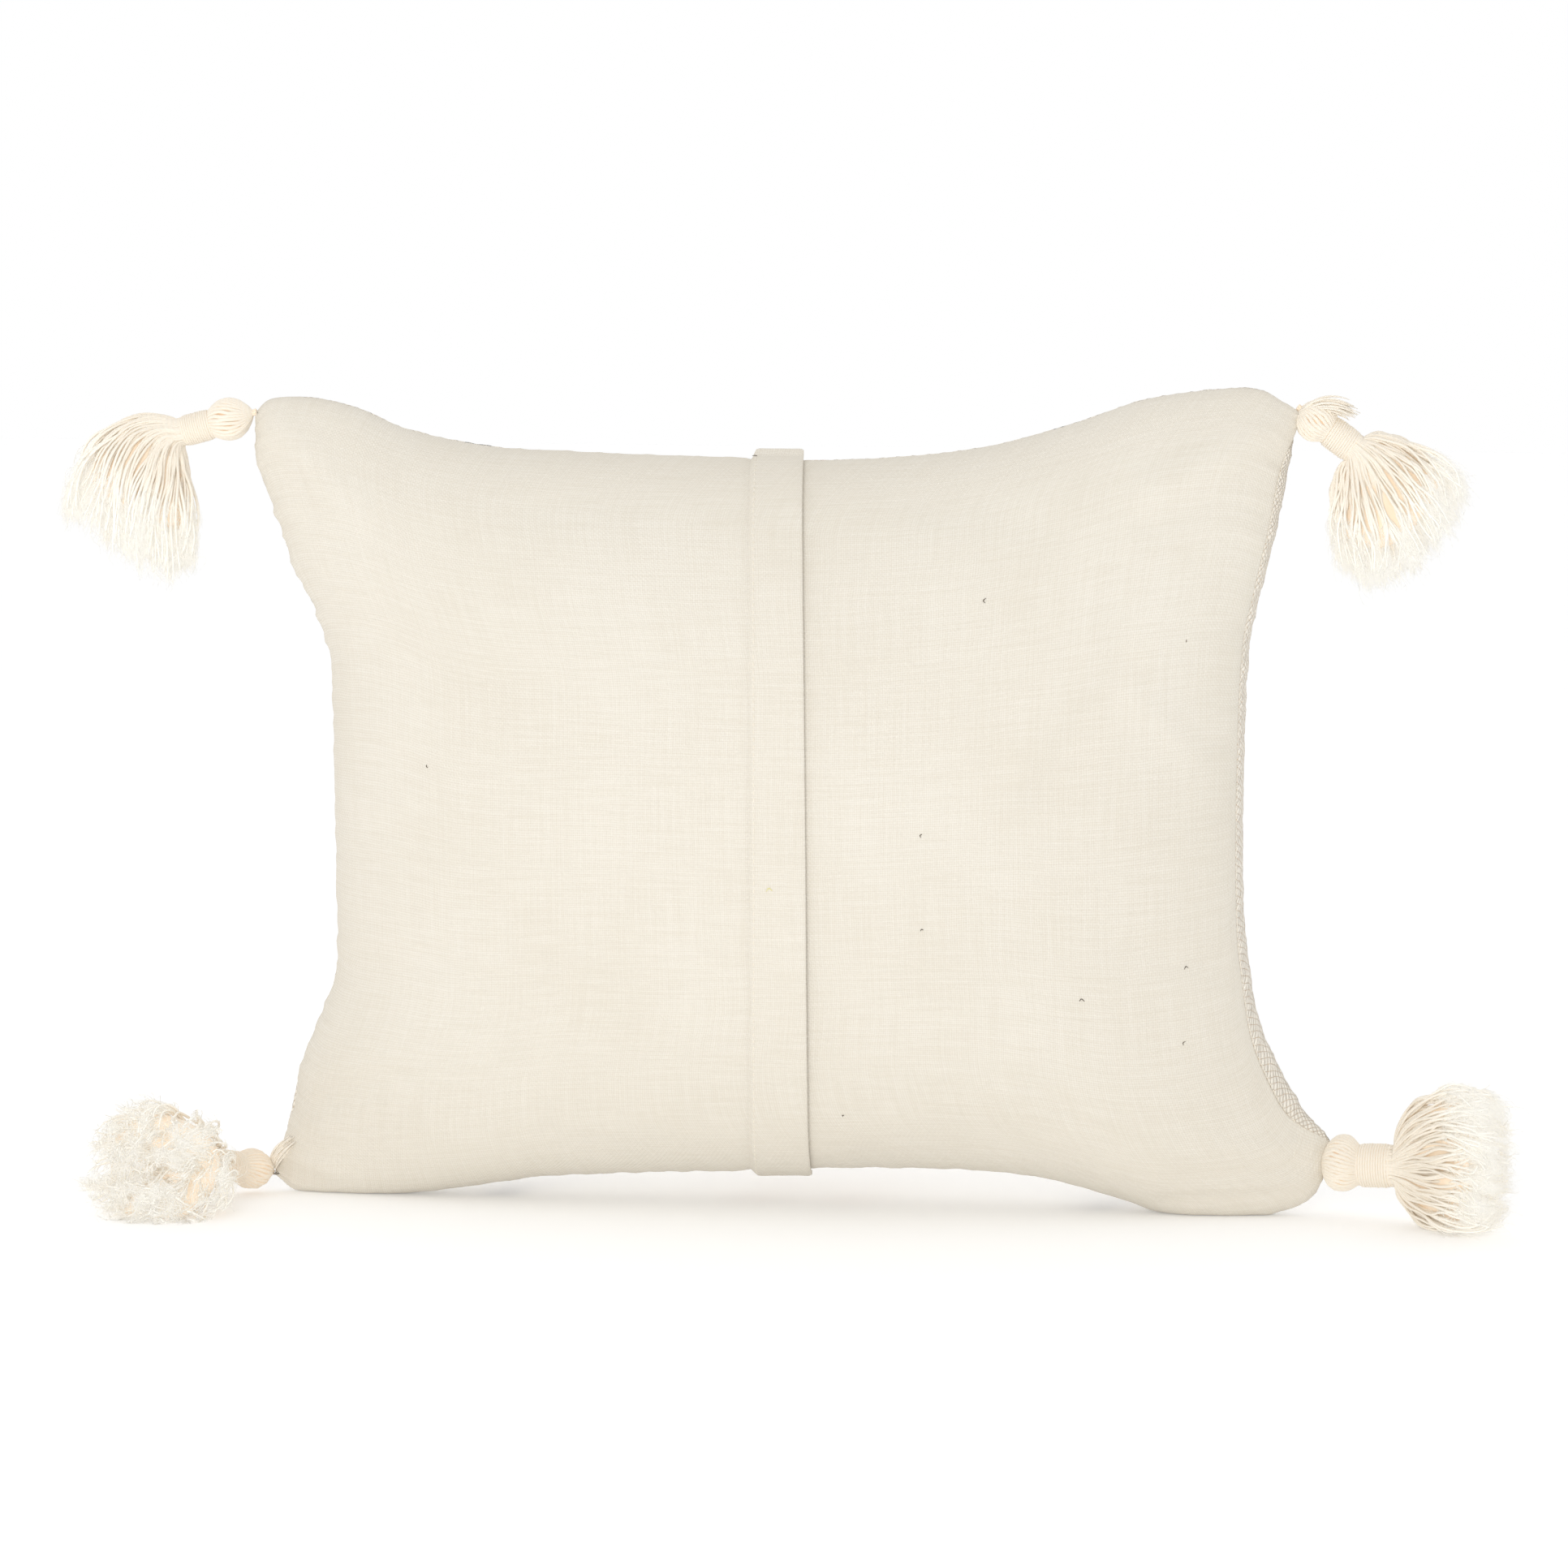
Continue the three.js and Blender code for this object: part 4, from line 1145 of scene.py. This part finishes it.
def bindingYarn(name, spec):
    # one yarn wound round the neck: a helix whose turns touch, over a second, thinner layer to close the gaps
    binding = spec["binding"]
    start, end = neckPlace(spec)
    steps = binding["turns"] * 26
    share = np.linspace(0, 1, steps)
    yarnRadius = binding["length"] / binding["turns"] / 2
    turn = share * binding["turns"] * fullTurn
    slack = 0.16 * ripple(turn / 2.7, spec["seed"] + 20, 3)
    radius = binding["radius"] - yarnRadius + slack - 1.0 * (np.abs(share - 0.5) * 2) ** 6
    distance = start + yarnRadius + (end - start - 2 * yarnRadius) * share + 0.25 * np.sin(turn + spec["seed"])
    path = onAxis(spec, distance, radius, turn)[None]
    sides = 8
    points, faces, place = tubeArrays(path, np.full((1, steps), yarnRadius * 0.98), sides, spec["axis"])
    # painted shade: the yarn's axis side is tinted warm, plus the head's tone of painted shade
    facing = (np.repeat(fromAxis(spec, path).ravel(), sides) - fromAxis(spec, points)) / yarnRadius
    place[:, 2] = np.maximum(outside, 0.5 + 0.6 * facing) + spec["head"]["tone"]
    parts = [(points, faces, place)]
    under = onAxis(spec, distance + yarnRadius, radius - yarnRadius * 1.1, turn)[None, ::2]
    parts.append(tubeArrays(under, np.full(under.shape[:2], yarnRadius * 1.1), 5, spec["axis"]))
    # the under layer is coloured with the painted warm shade, which shows between the turns
    parts[1][2][:, 2] = 0.9
    points, faces, place = joinArrays(parts)
    piece = yarnPiece(f"{name}TasselBinding", points, faces, place)
    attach(piece, f"{spec['node']}_head")
    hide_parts(f"{spec['node']}_binding")


def skirtFlow(spec, f, g, steps, stray=None, length=1.0, reachEnd=1.0):
    # yarn paths as cubic curves, each given by its place in the bundle: f runs from the inner line to the outer
    # one and g to either side, and every control point is of second degree in f
    skirt, lines = spec["skirt"], np.array(spec["skirt"]["lines"], float)
    low, middle, high = (line[None] for line in lines)
    fColumn, gColumn = f[:, None, None], g[:, None, None]
    control = (low * (fColumn * (fColumn - 1) / 2) + middle * (1 - fColumn ** 2)
               + high * (fColumn * (fColumn + 1) / 2))
    control = control + np.array(skirt["aside"], float)[None] * gColumn
    _, neckEnd = neckPlace(spec)
    along, _, _ = axisFrame(spec["axis"])
    outward = unit(lines[2, 0] - lines[0, 0])
    outward = unit(outward - along * (outward @ along))
    sideways = unit(np.array(skirt["normal"], float) - along * (np.array(skirt["normal"], float) @ along))
    packed = spec["binding"]["radius"] - 1.6
    centre = np.array(spec["corner"], float) + along * (neckEnd - strand["startInside"])
    start = centre + packed * (outward * fColumn[:, 0] + sideways * gColumn[:, 0])
    first = start + along * (strand["startInside"] + 1.0)
    control[:, 2] = control[:, 1] + (control[:, 2] - control[:, 1]) * length
    if stray is not None:
        control = control + stray
    s = np.linspace(0, reachEnd, steps)[None, :, None]
    weights = [(1 - s) ** 3, 3 * s * (1 - s) ** 2, 3 * s ** 2 * (1 - s), s ** 3]
    flow = (first[:, None] * weights[0] + control[:, None, 0] * weights[1] + control[:, None, 1] * weights[2]
            + control[:, None, 2] * weights[3])
    inside = start[:, None] + (first - start)[:, None] * np.linspace(0, 0.9, 3)[None, :, None]
    return inside, flow


def skirtPaths(spec):
    # most strands lie in the bundle's outer part. Strands of one clump share a wave that grows towards the ends
    draw = np.random.default_rng(spec["seed"] + 200)
    skirt, count = spec["skirt"], spec["skirt"]["strands"]
    angle = draw.uniform(0, fullTurn, count)
    within = draw.uniform(0, 1, count) < skirt["inner"]
    reach = np.where(within, np.sqrt(draw.uniform(0.0, 0.6, count)), draw.uniform(0.93, 1.07, count))
    f, g = reach * np.cos(angle), reach * np.sin(angle)
    stray = draw.normal(0, strand["stray"], (count, 3, 3)) * np.array([0.35, 0.9, 1.2])[:, None]
    clump = np.floor((np.arctan2(g, f) / fullTurn + 0.5) * strand["clumps"]).astype(int) % strand["clumps"]
    length = draw.uniform(0.82, 1.08, strand["clumps"])[clump] * draw.uniform(0.9, 1.03, count)
    inside, flow = skirtFlow(spec, f, g, strand["steps"], stray, length[:, None])
    share = np.linspace(0, 1, strand["steps"])[None, :]
    grow = share ** 1.1
    for axis in range(3):
        phase = draw.uniform(0, 6.28, (strand["clumps"], 1))[clump] + draw.normal(0, 0.5, (count, 1))
        pace = draw.uniform(4.5, 10.5, (strand["clumps"], 1))[clump]
        flow[..., axis] += skirt["wave"] * grow * np.sin(share * pace + phase)
        ownPace, ownPhase = draw.uniform(9, 22, (count, 1)), draw.uniform(0, 6.28, (count, 1))
        flow[..., axis] += 0.6 * np.sqrt(grow) * np.sin(share * ownPace + ownPhase)
    return np.concatenate([inside, flow], 1), reach, draw


def skirtCore(name, spec):
    # the inner yarns, too deep to tell apart, as one body under the outer strands
    turn = np.arange(core["angles"]) / core["angles"] * fullTurn
    inside, flow = skirtFlow(spec, core["reach"] * np.cos(turn), core["reach"] * np.sin(turn), core["steps"],
                             reachEnd=core["ends"])
    ring = np.concatenate([inside, flow], 1)
    rows, steps = ring.shape[:2]
    closing = ring.mean(0, keepdims=True)
    last = np.array([0.75, 0.4])[None, :, None]
    ring = np.concatenate([ring, closing[:, -1:] + (ring[:, -1:] - closing[:, -1:]) * last], 1)
    steps += 2
    at = np.arange(rows * steps).reshape(rows, steps)
    following = np.roll(at, -1, axis=0)
    walls = np.stack([at[:, :-1], following[:, :-1], following[:, 1:], at[:, 1:]], -1).reshape(-1, 4)
    place = np.zeros((rows * steps, 3))
    # painted shade: the core is tinted warm all over
    place[:, 2] = core["shadeWarmth"]
    points = ring.reshape(-1, 3).copy()
    points[:, 2] = np.maximum(points[:, 2], 1.0)
    piece = yarnPiece(f"{name}TasselCore", points, [walls, at[None, ::-1, 0], at[None, :, -1]], place)
    hangWithSkirt(piece)


def hangWithSkirt(piece):
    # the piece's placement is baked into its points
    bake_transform(piece)


def settle(points):
    # yarn rests on the floor, and its front part is drawn in softly: how far it stands out beyond the line
    # "front" shrinks towards "give"
    points[:, 2] = np.maximum(points[:, 2], 0.3 + 0.02 * points[:, 2])
    out = np.maximum(strand["front"] - points[:, 1], 0)
    points[:, 1] = np.where(out > 0, strand["front"] - strand["give"] * (1 - np.exp(-out / strand["give"])),
                            points[:, 1])


def skirtYarns(name, spec):
    # the skirt's strands, thinner towards their cut ends
    paths, reach, draw = skirtPaths(spec)
    count, steps = paths.shape[:2]
    share = np.linspace(0, 1, steps)[None, :]
    thinning = 1 - strand["taper"] * ease((share - 0.66) / 0.3)
    radii = strand["radius"] * draw.uniform(0.82, 1.2, (count, 1)) * thinning
    radii = radii * np.interp(share, [0, 0.12, 0.3], [0.7, 0.9, 1.0])
    points, faces, place = tubeArrays(paths, radii, strand["sides"], spec["skirt"]["normal"])
    # painted shade: inner strands and the side of each strand that faces the bundle's middle are tinted warm;
    # towards the tips less so, and whiter
    tips = ease((share - 0.35) / 0.6)
    shadeWarmth = (1.0 - 0.85 * reach[:, None] ** 1.5) * (1 - 0.8 * tips) + 0 * share
    middle = paths.mean(0, keepdims=True)
    outFrom = np.linalg.norm(paths - middle, axis=-1).ravel().repeat(strand["sides"])
    facing = outFrom - np.linalg.norm(points - middle[0].repeat(strand["sides"], 0)[None].repeat(count, 0)
                                      .reshape(-1, 3), axis=-1)
    tipped = np.repeat((tips + 0 * shadeWarmth).ravel(), strand["sides"])
    place[:, 2] = np.maximum(outside, np.repeat(shadeWarmth.ravel(), strand["sides"]) + 0.55 * facing) - 0.38 * tipped
    settle(points)
    piece = yarnPiece(f"{name}TasselSkirt", points, faces, place)
    hangWithSkirt(piece)
    skirtCore(name, spec)
    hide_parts(f"{spec['node']}_skirt")
    openedEnds(name, spec, paths, draw)


def openedEnds(name, spec, paths, draw):
    # the last part of each strand comes undone into fine curled fibres that gather again into jagged tips
    amount, steps = fluff["count"], paths.shape[1]
    owner = draw.integers(0, len(paths), amount)
    place = draw.uniform(fluff["from"], 1.0, amount) ** 0.8 * (steps - 1)
    k = np.minimum(place.astype(int), steps - 2)
    share = (place - k)[:, None]
    root = paths[owner, k] * (1 - share) + paths[owner, k + 1] * share
    heading = unit(paths[owner, k + 1] - paths[owner, k])
    reach = draw.uniform(*fluff["reach"], (amount, 1))
    ends = paths[:, -1]
    leaders = ends[draw.permutation(len(ends))[:fluff["tips"]]]
    gap = np.linalg.norm(ends[:, None] - leaders[None], axis=-1)
    leader = leaders[np.argmin(gap, axis=1)][owner]
    tip = root + heading * reach + draw.normal(0, spec["skirt"]["fuzz"], (amount, 3))
    pull = fluff["gather"] * draw.uniform(0, 1, (amount, 1)) * ease((place[:, None] / steps - 0.5) / 0.4)
    tip = tip + (leader + heading * 5.0 - tip) * pull
    swerve = draw.normal(0, fluff["spread"], (amount, 3))
    s = np.linspace(0, 1, 4)[None, :, None]
    wisps = root[:, None] * (1 - s) + tip[:, None] * s + swerve[:, None] * np.sin(math.pi * s)
    wisps = wisps + draw.normal(0, 0.35, wisps.shape)
    thin = fluff["radius"] * draw.uniform(0.6, 1.6, (amount, 1)) * np.array([1.2, 1.1, 0.8, 0.35])
    points, faces, yarnPlaceAndShade = tubeArrays(wisps, thin, 3, spec["skirt"]["normal"])
    # come undone: whiter yarn, which also gets the painted glow
    yarnPlaceAndShade[:, 2] = -0.3
    settle(points)
    piece = yarnPiece(f"{name}TasselFluff", points, faces, yarnPlaceAndShade)
    piece.visible_shadow = False                  # light passes between fibres this fine
    piece.visible_diffuse = False
    hangWithSkirt(piece)


for tasselName, tasselSpec in tassels.items():
    tieYarn(tasselName, tasselSpec)
    headYarns(tasselName, tasselSpec)
    bindingYarn(tasselName, tasselSpec)
    if tasselSpec["head"].get("tuftBody") == "cushion":
        cornerTuft(tasselName, tasselSpec)
    skirtYarns(tasselName, tasselSpec)
print("tassels made")
